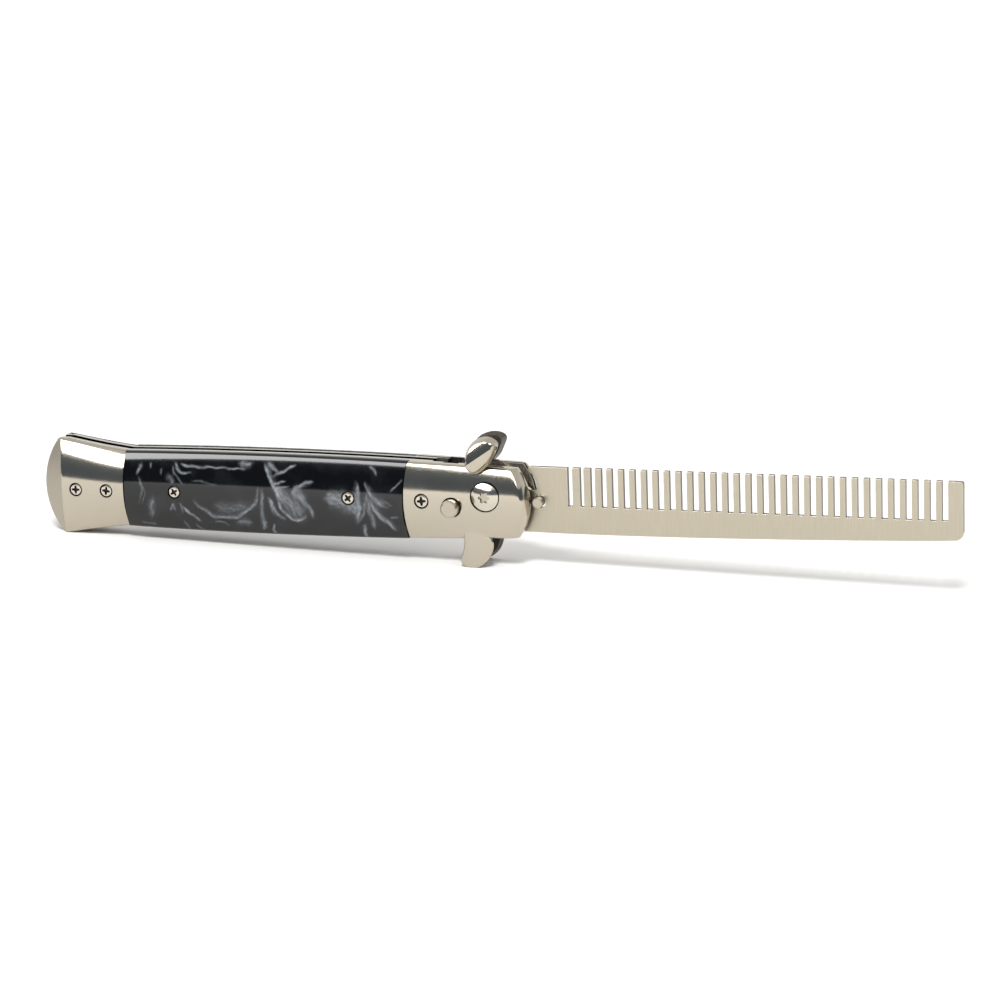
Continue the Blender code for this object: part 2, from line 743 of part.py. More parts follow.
def make_screws(shop, side):
    """Countersunk cross-head screws of one side."""
    for name, x, z, head, angle in SCREWS:
        under = SCREW_HEAD_TOP - SCREW_HEAD_DEPTH
        profile = ((0.0, SCREW_END), (SCREW_SHANK_RADIUS, SCREW_END),
                   (SCREW_SHANK_RADIUS, under), (head, under),
                   (head, SCREW_HEAD_TOP - SCREW_RIM), (SCREW_FLAT * head, SCREW_HEAD_TOP),
                   (0.0, SCREW_HEAD_TOP))
        full = name + "_" + side_name(side)
        screw = shop.add(full, turned(profile, x, AXIS_Z + z, side, SCREW_SIDES), shop.steel)
        recess = plate(cross_outline(x, AXIS_Z + z, angle),
                       *layer(side, SCREW_HEAD_TOP - CROSS_DEPTH, OPEN_ABOVE))
        boolean(screw, shop.cutter(full + "_cross", recess))


def dome_profile():
    """Domed pivot head from its underside to its crown, as (radius, depth) rows."""
    rise = PIVOT_HEAD_TOP - PIVOT_HEAD_EDGE
    sphere = (PIVOT_HEAD_RADIUS ** 2 + rise ** 2) / (2 * rise)
    rows = [(PIVOT_HEAD_RADIUS, PIVOT_HEAD_SEAT + GAP)]
    for share in (1.0, 0.85, 0.65, 0.4):
        radius = PIVOT_HEAD_RADIUS * share
        rows.append((radius, PIVOT_HEAD_TOP - sphere + math.sqrt(sphere ** 2 - radius ** 2)))
    rows.append((0.0, PIVOT_HEAD_TOP))
    return rows


def star_outline():
    """Six-lobed driver recess of the pivot screw."""
    points = []
    for step in range(STAR_STEPS):
        turn = math.tau * (step + 0.3) / STAR_STEPS
        radius = STAR_RADIUS + STAR_SWING * math.cos(6 * turn)
        points.append((radius * math.cos(turn), radius * math.sin(turn)))
    return points


def make_pivot(shop):
    """Pivot: a domed screw in front that enters the barrel of the rear nut."""
    screw_rows = [(0.0, -PIVOT_OVERLAP), (PIVOT_SHANK_RADIUS, -PIVOT_OVERLAP),
                  (PIVOT_SHANK_RADIUS, PIVOT_HEAD_SEAT + GAP)]
    mouth = -PIVOT_HEAD_SEAT
    nut_rows = [(0.0, PIVOT_NUT_START), (PIVOT_BORE_RADIUS, PIVOT_NUT_START),
                (PIVOT_BORE_RADIUS, mouth), (PIVOT_BARREL_RADIUS, mouth),
                (PIVOT_BARREL_RADIUS, PIVOT_HEAD_SEAT + GAP)]
    for name, rows, side in (("pivot_screw", screw_rows, FRONT), ("pivot_nut", nut_rows, REAR)):
        head = shop.add(name, turned(rows + dome_profile(), 0.0, 0.0, side, 24), shop.steel)
        star = plate(star_outline(), *layer(side, PIVOT_HEAD_TOP - STAR_DEPTH, OPEN_ABOVE))
        boolean(head, shop.cutter(name + "_star", star))


def make_button(shop):
    """Push button with the flange that keeps it behind the bolster."""
    profile = ((0.0, BUTTON_FLANGE_INNER), (BUTTON_FLANGE_RADIUS, BUTTON_FLANGE_INNER),
               (BUTTON_FLANGE_RADIUS, LINER_OUTER), (BUTTON_RADIUS, LINER_OUTER),
               (BUTTON_RADIUS, BUTTON_FACE - BUTTON_CHAMFER),
               (BUTTON_RADIUS - BUTTON_CHAMFER, BUTTON_FACE), (0.0, BUTTON_FACE))
    shop.add("button", turned(profile, BUTTON_X, BUTTON_Z, FRONT, 20), shop.steel)


def set_down(shop):
    """Move the whole comb so that its box stands centred on the world origin."""
    bpy.context.view_layer.update()
    depsgraph = bpy.context.evaluated_depsgraph_get()
    corners = []
    for piece in shop.pieces.objects:
        if piece.type != "MESH":
            continue
        evaluated = piece.evaluated_get(depsgraph)
        corners += [evaluated.matrix_world @ vertex.co for vertex in evaluated.data.vertices]
    low = Vector([min(corner[axis] for corner in corners) for axis in range(3)])
    high = Vector([max(corner[axis] for corner in corners) for axis in range(3)])
    middle = (low + high) / 2
    shop.stance.location = (-middle.x, -middle.y, -low.z)


def main():
    """Build the comb and stand it up."""
    clear_scene()
    shop = Workshop()
    make_comb(shop)
    for side in (FRONT, REAR):
        make_liner(shop, side)
        make_pommel(shop, side)
        make_scale(shop, side)
        make_bolster(shop, side)
        make_screws(shop, side)
    make_spacer(shop)
    make_pivot(shop)
    make_button(shop)
    set_down(shop)


main()
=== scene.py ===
"""Looks of a folding pocket comb, open and standing on its pommel and guard.

Every piece is drawn in the handle's own frame in millimetres, with its origin on the pivot,
X along the handle to the comb's tip, Y away from the viewer and Z towards the teeth, and is
set down in its place at the end.
"""
from __future__ import annotations

import json
import logging
import math
from collections.abc import Callable, Iterable, Sequence
from dataclasses import dataclass, field, replace
from enum import Enum

import bmesh
import bpy
import numpy as np
from mathutils import Matrix, Vector, geometry, noise

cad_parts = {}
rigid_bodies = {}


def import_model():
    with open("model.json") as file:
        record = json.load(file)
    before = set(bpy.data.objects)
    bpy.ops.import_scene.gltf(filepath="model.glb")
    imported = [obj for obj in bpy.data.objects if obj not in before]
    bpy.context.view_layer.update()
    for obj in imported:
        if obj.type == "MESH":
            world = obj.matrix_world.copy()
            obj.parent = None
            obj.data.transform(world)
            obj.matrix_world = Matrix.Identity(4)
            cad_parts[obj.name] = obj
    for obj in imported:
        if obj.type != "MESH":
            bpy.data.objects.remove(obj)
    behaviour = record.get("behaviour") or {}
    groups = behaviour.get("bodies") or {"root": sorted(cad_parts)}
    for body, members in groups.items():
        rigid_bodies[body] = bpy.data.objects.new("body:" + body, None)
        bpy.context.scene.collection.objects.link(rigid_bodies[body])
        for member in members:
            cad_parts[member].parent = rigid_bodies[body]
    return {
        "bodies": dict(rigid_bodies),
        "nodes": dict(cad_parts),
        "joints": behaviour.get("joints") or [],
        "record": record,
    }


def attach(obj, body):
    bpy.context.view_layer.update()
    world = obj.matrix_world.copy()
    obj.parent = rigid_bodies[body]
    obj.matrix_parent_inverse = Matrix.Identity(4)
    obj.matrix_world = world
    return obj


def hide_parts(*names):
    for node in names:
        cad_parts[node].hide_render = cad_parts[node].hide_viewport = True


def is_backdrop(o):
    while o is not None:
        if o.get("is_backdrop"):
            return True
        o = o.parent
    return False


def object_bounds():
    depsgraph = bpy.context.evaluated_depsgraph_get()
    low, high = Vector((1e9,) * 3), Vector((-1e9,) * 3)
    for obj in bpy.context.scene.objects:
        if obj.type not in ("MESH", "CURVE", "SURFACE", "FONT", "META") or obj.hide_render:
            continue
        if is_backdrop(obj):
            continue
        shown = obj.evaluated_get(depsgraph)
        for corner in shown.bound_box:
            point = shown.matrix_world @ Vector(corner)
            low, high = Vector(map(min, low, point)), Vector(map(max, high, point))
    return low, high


LOG = logging.getLogger("folding_comb")
Point = tuple[float, float]
GAP = 0.3
SHARP_CORNER = 40.0


class Side(Enum):
    """Face of the handle that a piece lies on; the value is the sign of its depth."""

    FRONT = -1
    REAR = 1

    @property
    def word(self) -> str:
        """Word for the side in a piece's name."""
        return self.name.lower()


class Body(Enum):
    """Moving body that a piece rides on."""

    HANDLE = "handle"
    COMB = "comb"
    BUTTON = "button"


@dataclass(frozen=True)
class Stance:
    """How the open comb stands: tilted by a few degrees, its pivot above the floor."""

    tilt: float = 2.13
    pivot: tuple[float, float, float] = (0.0014663, 0.00065, 0.01775)
    unit: float = 0.001

    def matrix(self) -> Matrix:
        """Matrix from the handle's millimetres to the standing comb's metres."""
        turn = Matrix.Rotation(math.radians(-self.tilt), 4, "Y")
        return Matrix.Translation(self.pivot) @ turn @ Matrix.Scale(self.unit, 4)


STANCE = Stance()


# Meshes


def new_object(mesh: bpy.types.Mesh, name: str) -> bpy.types.Object:
    """Link a mesh to the scene as an object."""
    made = bpy.data.objects.new(name, mesh)
    bpy.context.scene.collection.objects.link(made)
    return made


def as_mesh(bm: bmesh.types.BMesh, name: str) -> bpy.types.Mesh:
    """Turn a bmesh into a mesh whose faces point outwards.

    Args:
        bm: Closed bmesh, which is used up.
        name: Name of the mesh.

    Returns:
        The mesh.
    """
    bmesh.ops.recalc_face_normals(bm, faces=bm.faces)
    mesh = bpy.data.meshes.new(name)
    bm.to_mesh(mesh)
    bm.free()
    return mesh


def loft(rings: Sequence[Sequence[Vector]]) -> bmesh.types.BMesh:
    """Closed skin over rings of points.

    Args:
        rings: Rings with the same number of points, each closed on itself.

    Returns:
        A bmesh with a face over the first and the last ring.
    """
    bm = bmesh.new()
    rows = [[bm.verts.new(point) for point in ring] for ring in rings]
    count = len(rings[0])
    for low, high in zip(rows, rows[1:]):
        for i in range(count):
            j = (i + 1) % count
            bm.faces.new((low[i], low[j], high[j], high[i]))
    bm.faces.new(rows[0])
    bm.faces.new(rows[-1])
    bmesh.ops.remove_doubles(bm, verts=bm.verts, dist=0.0005)
    return bm


def turned(profile: Sequence[Point], at: Point, side: Side, steps: int = 64) -> bmesh.types.BMesh:
    """Solid turned about a line across the handle.

    Args:
        profile: Rows of radius and depth, from one end on the axis to the other.
        at: Place of the axis along and above the handle's frame.
        side: Side that the depths are measured to.
        steps: Number of facets round the axis.

    Returns:
        A closed bmesh.
    """
    bm = bmesh.new()
    rows = []
    for radius, depth in profile:
        share = 1 if radius == 0.0 else steps
        ring = []
        for step in range(share):
            angle = math.tau * step / steps
            ring.append(bm.verts.new((at[0] + radius * math.cos(angle), side.value * depth,
                                      at[1] + radius * math.sin(angle))))
        rows.append(ring)
    for low, high in zip(rows, rows[1:]):
        for step in range(steps):
            after = (step + 1) % steps
            corners = [low[step % len(low)], low[after % len(low)],
                       high[after % len(high)], high[step % len(high)]]
            bm.faces.new(list(dict.fromkeys(corners)))
    return bm


def plate(outline: Sequence[Point], low: float, high: float) -> bmesh.types.BMesh:
    """Flat outline with a thickness.

    Args:
        outline: Points along and above the handle's frame, in order round the edge.
        low: Depth of one face.
        high: Depth of the other face.

    Returns:
        A closed bmesh with one face on each side.
    """
    bm = bmesh.new()
    bottom = [bm.verts.new((x, low, z)) for x, z in outline]
    top = [bm.verts.new((x, high, z)) for x, z in outline]
    for i in range(len(outline)):
        j = (i + 1) % len(outline)
        bm.faces.new((bottom[i], bottom[j], top[j], top[i]))
    bm.faces.new(bottom)
    bm.faces.new(top)
    return bm


def arc(middle: Point, radius: float, start: float, end: float, steps: int) -> list[Point]:
    """Points on an arc, with its angles in degrees from +X towards +Z."""
    angles = [math.radians(start + (end - start) * step / steps) for step in range(steps + 1)]
    return [(middle[0] + radius * math.cos(a), middle[1] + radius * math.sin(a)) for a in angles]


def smooth_path(points: Sequence[Point], steps: int, closed: bool = False) -> list[Vector]:
    """Catmull-Rom curve through points.

    Args:
        points: Points that the curve passes.
        steps: Number of steps between two points.
        closed: Whether the curve returns to its first point.

    Returns:
        Points on the curve; an open one ends on the last given point.
    """
    given = [Vector(point) for point in points]
    count = len(given)
    spans = count if closed else count - 1
    path = []
    for i in range(spans):
        picks = [(i + k) % count if closed else min(max(i + k, 0), count - 1)
                 for k in (-1, 0, 1, 2)]
        before, here, after, beyond = (given[pick] for pick in picks)
        for step in range(steps):
            t = step / steps
            path.append(0.5 * (2 * here + (after - before) * t
                               + (2 * before - 5 * here + 4 * after - beyond) * t ** 2
                               + (3 * here - before - 3 * after + beyond) * t ** 3))
    return path if closed else path + [given[-1]]


def segment_distance(at: Vector, one: Vector, two: Vector) -> float:
    """Distance of a flat place from the line between two others."""
    share = (at - one).dot(two - one) / max((two - one).length_squared, 1e-12)
    return (at - one.lerp(two, min(max(share, 0.0), 1.0))).length


def within(at: Vector, loop: Sequence[Vector]) -> bool:
    """Tell whether a flat place lies inside a loop.

    Args:
        at: The place.
        loop: Corners of the loop in order.

    Returns:
        True for a place inside.
    """
    inside = False
    for one, two in zip(loop, loop[1:] + loop[:1]):
        if (one.y > at.y) != (two.y > at.y):
            cross = one.x + (at.y - one.y) / (two.y - one.y) * (two.x - one.x)
            inside ^= at.x < cross
    return inside


def evaluated_mesh(holder: bpy.types.Object) -> bpy.types.Mesh:
    """Apply an object's modifiers.

    Args:
        holder: The object, which is removed with its own mesh.

    Returns:
        The plain mesh that its modifiers make.
    """
    bpy.context.view_layer.update()
    depsgraph = bpy.context.evaluated_depsgraph_get()
    mesh = bpy.data.meshes.new_from_object(holder.evaluated_get(depsgraph))
    old = holder.data
    bpy.data.objects.remove(holder, do_unlink=True)
    bpy.data.meshes.remove(old)
    return mesh


@dataclass
class Tool:
    """Solid that is cut out of a piece or joined to it, and the finish of the faces it leaves."""

    solid: bmesh.types.BMesh
    finish: bpy.types.Material | None = None
    operation: str = "DIFFERENCE"


def combined(body: bmesh.types.BMesh, tools: Iterable[Tool],
             finish: bpy.types.Material) -> bpy.types.Mesh:
    """Cut tools out of a solid, or join them to it.

    Args:
        body: The solid that is worked on.
        tools: Tools in the order of their use.
        finish: Finish of the solid, and of the faces of a tool that has none of its own.

    Returns:
        The finished mesh.
    """
    holder = new_object(as_mesh(body, "work"), "work")
    holder.data.materials.append(finish)
    cutters = []
    for tool in tools:
        cutter = new_object(as_mesh(tool.solid, "tool"), "tool")
        cutter.data.materials.append(tool.finish or finish)
        modifier = holder.modifiers.new("tool", "BOOLEAN")
        modifier.operation = tool.operation
        modifier.solver = "EXACT"
        modifier.material_mode = "TRANSFER"
        modifier.object = cutter
        cutters.append(cutter)
    mesh = evaluated_mesh(holder)
    for cutter in cutters:
        old = cutter.data
        bpy.data.objects.remove(cutter, do_unlink=True)
        bpy.data.meshes.remove(old)
    return mesh


def bevelled(mesh: bpy.types.Mesh, width: float, segments: int) -> bpy.types.Mesh:
    """Round a mesh's sharp edges.

    Args:
        mesh: The mesh, which is used up.
        width: Width of the rounding in millimetres.
        segments: Number of facets across the rounding.

    Returns:
        The rounded mesh.
    """
    holder = new_object(mesh, "work")
    modifier = holder.modifiers.new("rounding", "BEVEL")
    modifier.width = width
    modifier.segments = segments
    modifier.limit_method = "ANGLE"
    modifier.angle_limit = math.radians(SHARP_CORNER)
    return evaluated_mesh(holder)


def hang(mesh: bpy.types.Mesh, name: str, body: Body, replaced: Sequence[str],
         sharp: float = 32.0) -> bpy.types.Object:
    """Set a finished mesh down in its place and let it ride on its body.

    Args:
        mesh: Mesh in the handle's millimetres, with its finishes.
        name: Name of the piece.
        body: Body that it moves with.
        replaced: Solids that it stands for.
        sharp: Angle in degrees above which an edge is shaded as sharp.

    Returns:
        The piece.
    """
    mesh.transform(STANCE.matrix())
    mesh.shade_smooth()
    mesh.set_sharp_from_angle(angle=math.radians(sharp))
    mesh.name = name
    piece = new_object(mesh, name)
    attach(piece, body.value)
    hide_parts(*replaced)
    LOG.info("%s: %d faces on %s", name, len(mesh.polygons), body.value)
    return piece


# Finishes


def linear(colour: str) -> tuple[float, float, float, float]:
    """Turn an sRGB hex colour into linear values.

    Args:
        colour: Six hex digits, such as 'd0c6b2'.

    Returns:
        Red, green, blue and an alpha of 1.
    """
    parts = [int(colour[i:i + 2], 16) / 255 for i in (0, 2, 4)]
    values = [c / 12.92 if c <= 0.04045 else ((c + 0.055) / 1.055) ** 2.4 for c in parts]
    return (values[0], values[1], values[2], 1.0)


def add_node(tree: bpy.types.NodeTree, kind: str, settings: dict[str, object] | None = None,
             feeds: dict[str | int, object] | None = None) -> bpy.types.Node:
    """Add a node with its settings and links.

    Args:
        tree: Tree that the node goes into.
        kind: Type of the node.
        settings: Properties of the node.
        feeds: For each input, by name or number, a value or the socket linked to it.

    Returns:
        The node.
    """
    node = tree.nodes.new(kind)
    for name, value in (settings or {}).items():
        setattr(node, name, value)
    for name, feed in (feeds or {}).items():
        if isinstance(feed, bpy.types.NodeSocket):
            tree.links.new(feed, node.inputs[name])
        else:
            node.inputs[name].default_value = feed
    return node


def named_tree(name: str, kinds: dict[str, str]) -> tuple[bpy.types.NodeTree, dict[str, str]]:
    """Start a geometry tree with named inputs.

    Args:
        name: Name of the tree.
        kinds: Kind of socket of each named input.

    Returns:
        The tree, and the identifier of each named input.
    """
    tree = bpy.data.node_groups.new(name, "GeometryNodeTree")
    face = tree.interface
    names = {}
    for key, kind in kinds.items():
        socket = face.new_socket(key, in_out="INPUT", socket_type="NodeSocket" + kind)
        names[key] = socket.identifier
    face.new_socket("Geometry", in_out="OUTPUT", socket_type="NodeSocketGeometry")
    return tree, names


def grown(mesh: bpy.types.Mesh, tree: bpy.types.NodeTree, names: dict[str, str],
          values: dict[str, object]) -> bpy.types.Mesh:
    """Run a geometry tree on a mesh.

    Args:
        mesh: Mesh that the tree starts from.
        tree: The tree.
        names: Identifier of each named input.
        values: Value of each named input that is set.

    Returns:
        The plain mesh that the tree makes.
    """
    holder = new_object(mesh, "work")
    modifier = holder.modifiers.new("rule", "NODES")
    modifier.node_group = tree
    for name, value in values.items():
        modifier[names[name]] = value
    return evaluated_mesh(holder)


@dataclass(frozen=True)
class Finish:
    """A finish with one Principled shader; patterns are added by each kind of finish."""

    name: str
    colour: str
    metallic: float = 1.0
    roughness: float = 0.2

    def dress(self) -> bpy.types.Material:
        """Build the finish.

        Returns:
            The material, with the finish's own pattern.
        """
        made = bpy.data.materials.new(self.name)
        made.use_nodes = True
        tree = made.node_tree
        tree.nodes.clear()
        shader = add_node(tree, "ShaderNodeBsdfPrincipled", None,
                          {"Base Color": linear(self.colour), "Metallic": self.metallic,
                           "Roughness": self.roughness})
        add_node(tree, "ShaderNodeOutputMaterial", None, {"Surface": shader.outputs["BSDF"]})
        self.pattern(tree, shader)
        return made

    def pattern(self, tree: bpy.types.NodeTree, shader: bpy.types.Node) -> None:
        """Add the finish's own pattern; a plain finish has none.

        Args:
            tree: The material's tree.
            shader: Its Principled shader.
        """

    def millimetres(self, tree: bpy.types.NodeTree, stretch: Sequence[float] = (1.0, 1.0, 1.0),
                    ) -> bpy.types.NodeSocket:
        """Give a pattern its place in the handle's millimetres.

        Args:
            tree: The material's tree.
            stretch: Factor of each axis.

        Returns:
            Socket of the position.
        """
        where = add_node(tree, "ShaderNodeTexCoord")
        back = STANCE.matrix().inverted()
        placed = add_node(tree, "ShaderNodeMapping", None, {
            "Vector": where.outputs["Object"], "Location": back.to_translation(),
            "Rotation": back.to_euler(), "Scale": back.to_scale()})
        scaled = add_node(tree, "ShaderNodeVectorMath", {"operation": "MULTIPLY"},
                          {0: placed.outputs[0], 1: tuple(stretch)})
        return scaled.outputs[0]


@dataclass(frozen=True)
class PolishedSteel(Finish):
    """Stainless steel, cast and buffed: mirror-like, with faint wheel marks and smears.

    There are 0.12 smears to a millimetre, and the hairlines lie 0.2 mm apart. What a piece marks as
    satin was only belted: it is rougher by a share, and its colour is darkened by another share as
    painted shade.
    """

    smear: float = 0.12
    hairline: float = 0.2
    satin: float = 0.3
    dulled: float = 0.78
    spread: tuple[float, float] = (0.7, 1.5)

    def pattern(self, tree: bpy.types.NodeTree, shader: bpy.types.Node) -> None:
        """Vary the gloss with soft smears, add hairlines, roughen the satin facets and darken them
        with painted shade.

        Args:
            tree: The material's tree.
            shader: Its Principled shader.
        """
        spots = add_node(tree, "ShaderNodeTexNoise", None, {
            "Vector": self.millimetres(tree), "Scale": self.smear, "Detail": 4.0})
        gloss = add_node(tree, "ShaderNodeMapRange", None, {
            "Value": spots.outputs["Fac"], "To Min": self.roughness * self.spread[0],
            "To Max": self.roughness * self.spread[1]})
        stored = add_node(tree, "ShaderNodeAttribute", {"attribute_name": "satin"})
        duller = add_node(tree, "ShaderNodeMath", {"operation": "MULTIPLY_ADD"}, {
            0: stored.outputs["Fac"], 1: self.satin, 2: gloss.outputs["Result"]})
        tree.links.new(duller.outputs[0], shader.inputs["Roughness"])
        # Painted shade: the satin facets' colour is darkened by a share
        base = linear(self.colour)
        tone = add_node(tree, "ShaderNodeMix", {"data_type": "RGBA"}, {
            0: stored.outputs["Fac"], 6: base, 7: (*[c * self.dulled for c in base[:3]], 1.0)})
        tree.links.new(tone.outputs[2], shader.inputs["Base Color"])
        lines = add_node(tree, "ShaderNodeTexNoise", None, {
            "Vector": self.millimetres(tree, (0.15, 1.0, 1.0 / self.hairline)), "Scale": 1.0,
            "Detail": 2.0})
        bump = add_node(tree, "ShaderNodeBump", None, {
            "Height": lines.outputs["Fac"], "Strength": 0.02, "Distance": 0.00002})
        tree.links.new(bump.outputs["Normal"], shader.inputs["Normal"])


@dataclass(frozen=True)
class BrushedSteel(Finish):
    """Sheet steel ground with a belt: fine lines across the blade that blur its reflections.

    The real grit leaves lines of about 0.05 mm, which are too fine to show, so that they are
    drawn 0.2 mm apart.
    """

    line: float = 0.2
    length: float = 6.0
    strength: float = 0.25
    tones: tuple[float, float] = (0.85, 1.12)
    spread: tuple[float, float] = (0.8, 1.25)

    def pattern(self, tree: bpy.types.NodeTree, shader: bpy.types.Node) -> None:
        """Draw grinding lines along Z in colour, gloss and relief.

        Args:
            tree: The material's tree.
            shader: Its Principled shader.
        """
        lines = add_node(tree, "ShaderNodeTexNoise", None, {
            "Vector": self.millimetres(tree, (1.0 / self.line, 0.2, 1.0 / self.length)),
            "Scale": 1.0, "Detail": 3.0, "Roughness": 0.6})
        dark, bright = ((*[min(1.0, c * tone) for c in linear(self.colour)[:3]], 1.0)
                        for tone in self.tones)
        tone = add_node(tree, "ShaderNodeMix", {"data_type": "RGBA"}, {
            0: lines.outputs["Fac"], 6: dark, 7: bright})
        tree.links.new(tone.outputs[2], shader.inputs["Base Color"])
        gloss = add_node(tree, "ShaderNodeMapRange", None, {
            "Value": lines.outputs["Fac"], "To Min": self.roughness * self.spread[0],
            "To Max": self.roughness * self.spread[1]})
        tree.links.new(gloss.outputs["Result"], shader.inputs["Roughness"])
        bump = add_node(tree, "ShaderNodeBump", None, {
            "Height": lines.outputs["Fac"], "Strength": self.strength, "Distance": 0.00003})
        tree.links.new(bump.outputs["Normal"], shader.inputs["Normal"])


@dataclass(frozen=True)
class LinerSteel(BrushedSteel):
    """Sheet steel sheared to shape: its rims are bright, and its faces in the slot are painted near
    black as painted shade.
    """

    # Near-black painted shade for the faces within the slot
    oil: str = "0c0b0a"
    slot_half: float = 1.0
    fade: float = 0.1

    def pattern(self, tree: bpy.types.NodeTree, shader: bpy.types.Node) -> None:
        """Paint near-black shade on what lies within the slot.

        Args:
            tree: The material's tree.
            shader: Its Principled shader.
        """
        super().pattern(tree, shader)
        bright = shader.inputs["Base Color"].links[0].from_socket
        parts = add_node(tree, "ShaderNodeSeparateXYZ", None, {0: self.millimetres(tree)})
        depth = add_node(tree, "ShaderNodeMath", {"operation": "ABSOLUTE"}, {0: parts.outputs[1]})
        rim = add_node(tree, "ShaderNodeMapRange", None, {
            "Value": depth.outputs[0], "From Min": self.slot_half,
            "From Max": self.slot_half + self.fade})
        # Painted shade: the faces within the slot take the near-black colour, the rims keep the
        # steel's own
        tone = add_node(tree, "ShaderNodeMix", {"data_type": "RGBA"}, {
            0: rim.outputs[0], 6: linear(self.oil), 7: bright})
        tree.links.new(tone.outputs[2], shader.inputs["Base Color"])


@dataclass(frozen=True)
class TurnedSteel(Finish):
    """Steel turned on a lathe: faint rings about the piece's own axis."""

    ring: float = 0.12
    spread: tuple[float, float] = (0.8, 1.3)

    def pattern(self, tree: bpy.types.NodeTree, shader: bpy.types.Node) -> None:
        """Draw rings by the distance that each piece stores from its axis.

        Args:
            tree: The material's tree.
            shader: Its Principled shader.
        """
        stored = add_node(tree, "ShaderNodeAttribute", {"attribute_name": "from_axis"})
        rings = add_node(tree, "ShaderNodeTexNoise", {"noise_dimensions": "1D"}, {
            "W": stored.outputs["Fac"], "Scale": 1.0 / self.ring, "Detail": 2.0})
        bump = add_node(tree, "ShaderNodeBump", None, {
            "Height": rings.outputs["Fac"], "Strength": 0.15, "Distance": 0.00002})
        tree.links.new(bump.outputs["Normal"], shader.inputs["Normal"])
        gloss = add_node(tree, "ShaderNodeMapRange", None, {
            "Value": rings.outputs["Fac"], "To Min": self.roughness * self.spread[0],
            "To Max": self.roughness * self.spread[1]})
        tree.links.new(gloss.outputs["Result"], shader.inputs["Roughness"])


@dataclass(frozen=True)
class PearlAcrylic(Finish):
    """Black acrylic cast with pearl pigment and polished: glossy, with smoky white feathers."""

    pearl: str = "888d92"
    feather: float = 0.35
    ior: float = 1.49
    shine: float = 0.55

    def pattern(self, tree: bpy.types.NodeTree, shader: bpy.types.Node) -> None:
        """Show the pearl that each scale stores, broken up into fine feathers.

        Args:
            tree: The material's tree.
            shader: Its Principled shader.
        """
        stored = add_node(tree, "ShaderNodeAttribute", {"attribute_name": "pearl"})
        fine = add_node(tree, "ShaderNodeTexNoise", None, {
            "Vector": self.millimetres(tree), "Scale": 1.0 / self.feather, "Detail": 3.0,
            "Distortion": 0.6})
        broken = add_node(tree, "ShaderNodeMapRange", None, {
            "Value": fine.outputs["Fac"], "From Min": 0.3, "From Max": 0.7, "To Min": 0.9,
            "To Max": 1.1})
        amount = add_node(tree, "ShaderNodeMath", {"operation": "MULTIPLY", "use_clamp": True},
                          {0: stored.outputs["Fac"], 1: broken.outputs["Result"]})
        tone = add_node(tree, "ShaderNodeMix", {"data_type": "RGBA"}, {
            0: amount.outputs[0], 6: linear(self.colour), 7: linear(self.pearl)})
        tree.links.new(tone.outputs[2], shader.inputs["Base Color"])
        shader.inputs["IOR"].default_value = self.ior
        shader.inputs["Specular IOR Level"].default_value = self.shine


@dataclass(frozen=True)
class RecessSteel(Finish):
    """Steel in holes, driver slots and other hollows, painted dark as painted shade."""

    bare: str = "3c3832"
    patch: float = 0.5

    def pattern(self, tree: bpy.types.NodeTree, shader: bpy.types.Node) -> None:
        """Let a little lighter steel show in patches through the painted shade.

        Args:
            tree: The material's tree.
            shader: Its Principled shader.
        """
        patches = add_node(tree, "ShaderNodeTexNoise", None, {
            "Vector": self.millimetres(tree), "Scale": 1.0 / self.patch, "Detail": 2.0})
        share = add_node(tree, "ShaderNodeMapRange", None, {
            "Value": patches.outputs["Fac"], "From Min": 0.5, "From Max": 0.75})
        # Painted shade: the dark colour, broken by lighter patches
        tone = add_node(tree, "ShaderNodeMix", {"data_type": "RGBA"}, {
            0: share.outputs[0], 6: linear(self.colour), 7: linear(self.bare)})
        tree.links.new(tone.outputs[2], shader.inputs["Base Color"])


@dataclass(frozen=True)
class FinishSet:
    """Every finish of the comb, built once."""

    polished: bpy.types.Material
    brushed: bpy.types.Material
    liner: bpy.types.Material
    turned: bpy.types.Material
    screw: bpy.types.Material
    acrylic: bpy.types.Material
    # recess and cast are dark steels that paint shade: recess in holes and driver slots, cast on
    # faces towards the slot and on the comb's edges among its teeth
    recess: bpy.types.Material
    cast: bpy.types.Material

    @classmethod
    def build(cls) -> FinishSet:
        """Build the finishes.

        Returns:
            The whole set.
        """
        return cls(
            polished=PolishedSteel("buffed_stainless_steel", "b6ae9f", roughness=0.1).dress(),
            brushed=BrushedSteel("belt_ground_steel", "b5ad9c", roughness=0.32).dress(),
            liner=LinerSteel("sheared_steel", "c8c4ba", roughness=0.28, strength=0.1).dress(),
            turned=TurnedSteel("turned_steel", "b4ab9b", roughness=0.28).dress(),
            screw=TurnedSteel("nickel_plated_steel", "c8c1b4", roughness=0.14).dress(),
            acrylic=PearlAcrylic("pearl_acrylic", "010102", metallic=0.0, roughness=0.07).dress(),
            # Near-black painted shade for holes, driver slots and the pin's track
            recess=RecessSteel("oxidised_steel", "14120f", metallic=0.4, roughness=0.5).dress(),
            # Dark grey painted shade for the bolsters' faces towards the slot and the comb's edges
            # among its teeth
            cast=RecessSteel("cast_steel", "5a554f", roughness=0.4, bare="6a655f",
                             patch=1.2).dress(),
        )


# Handle


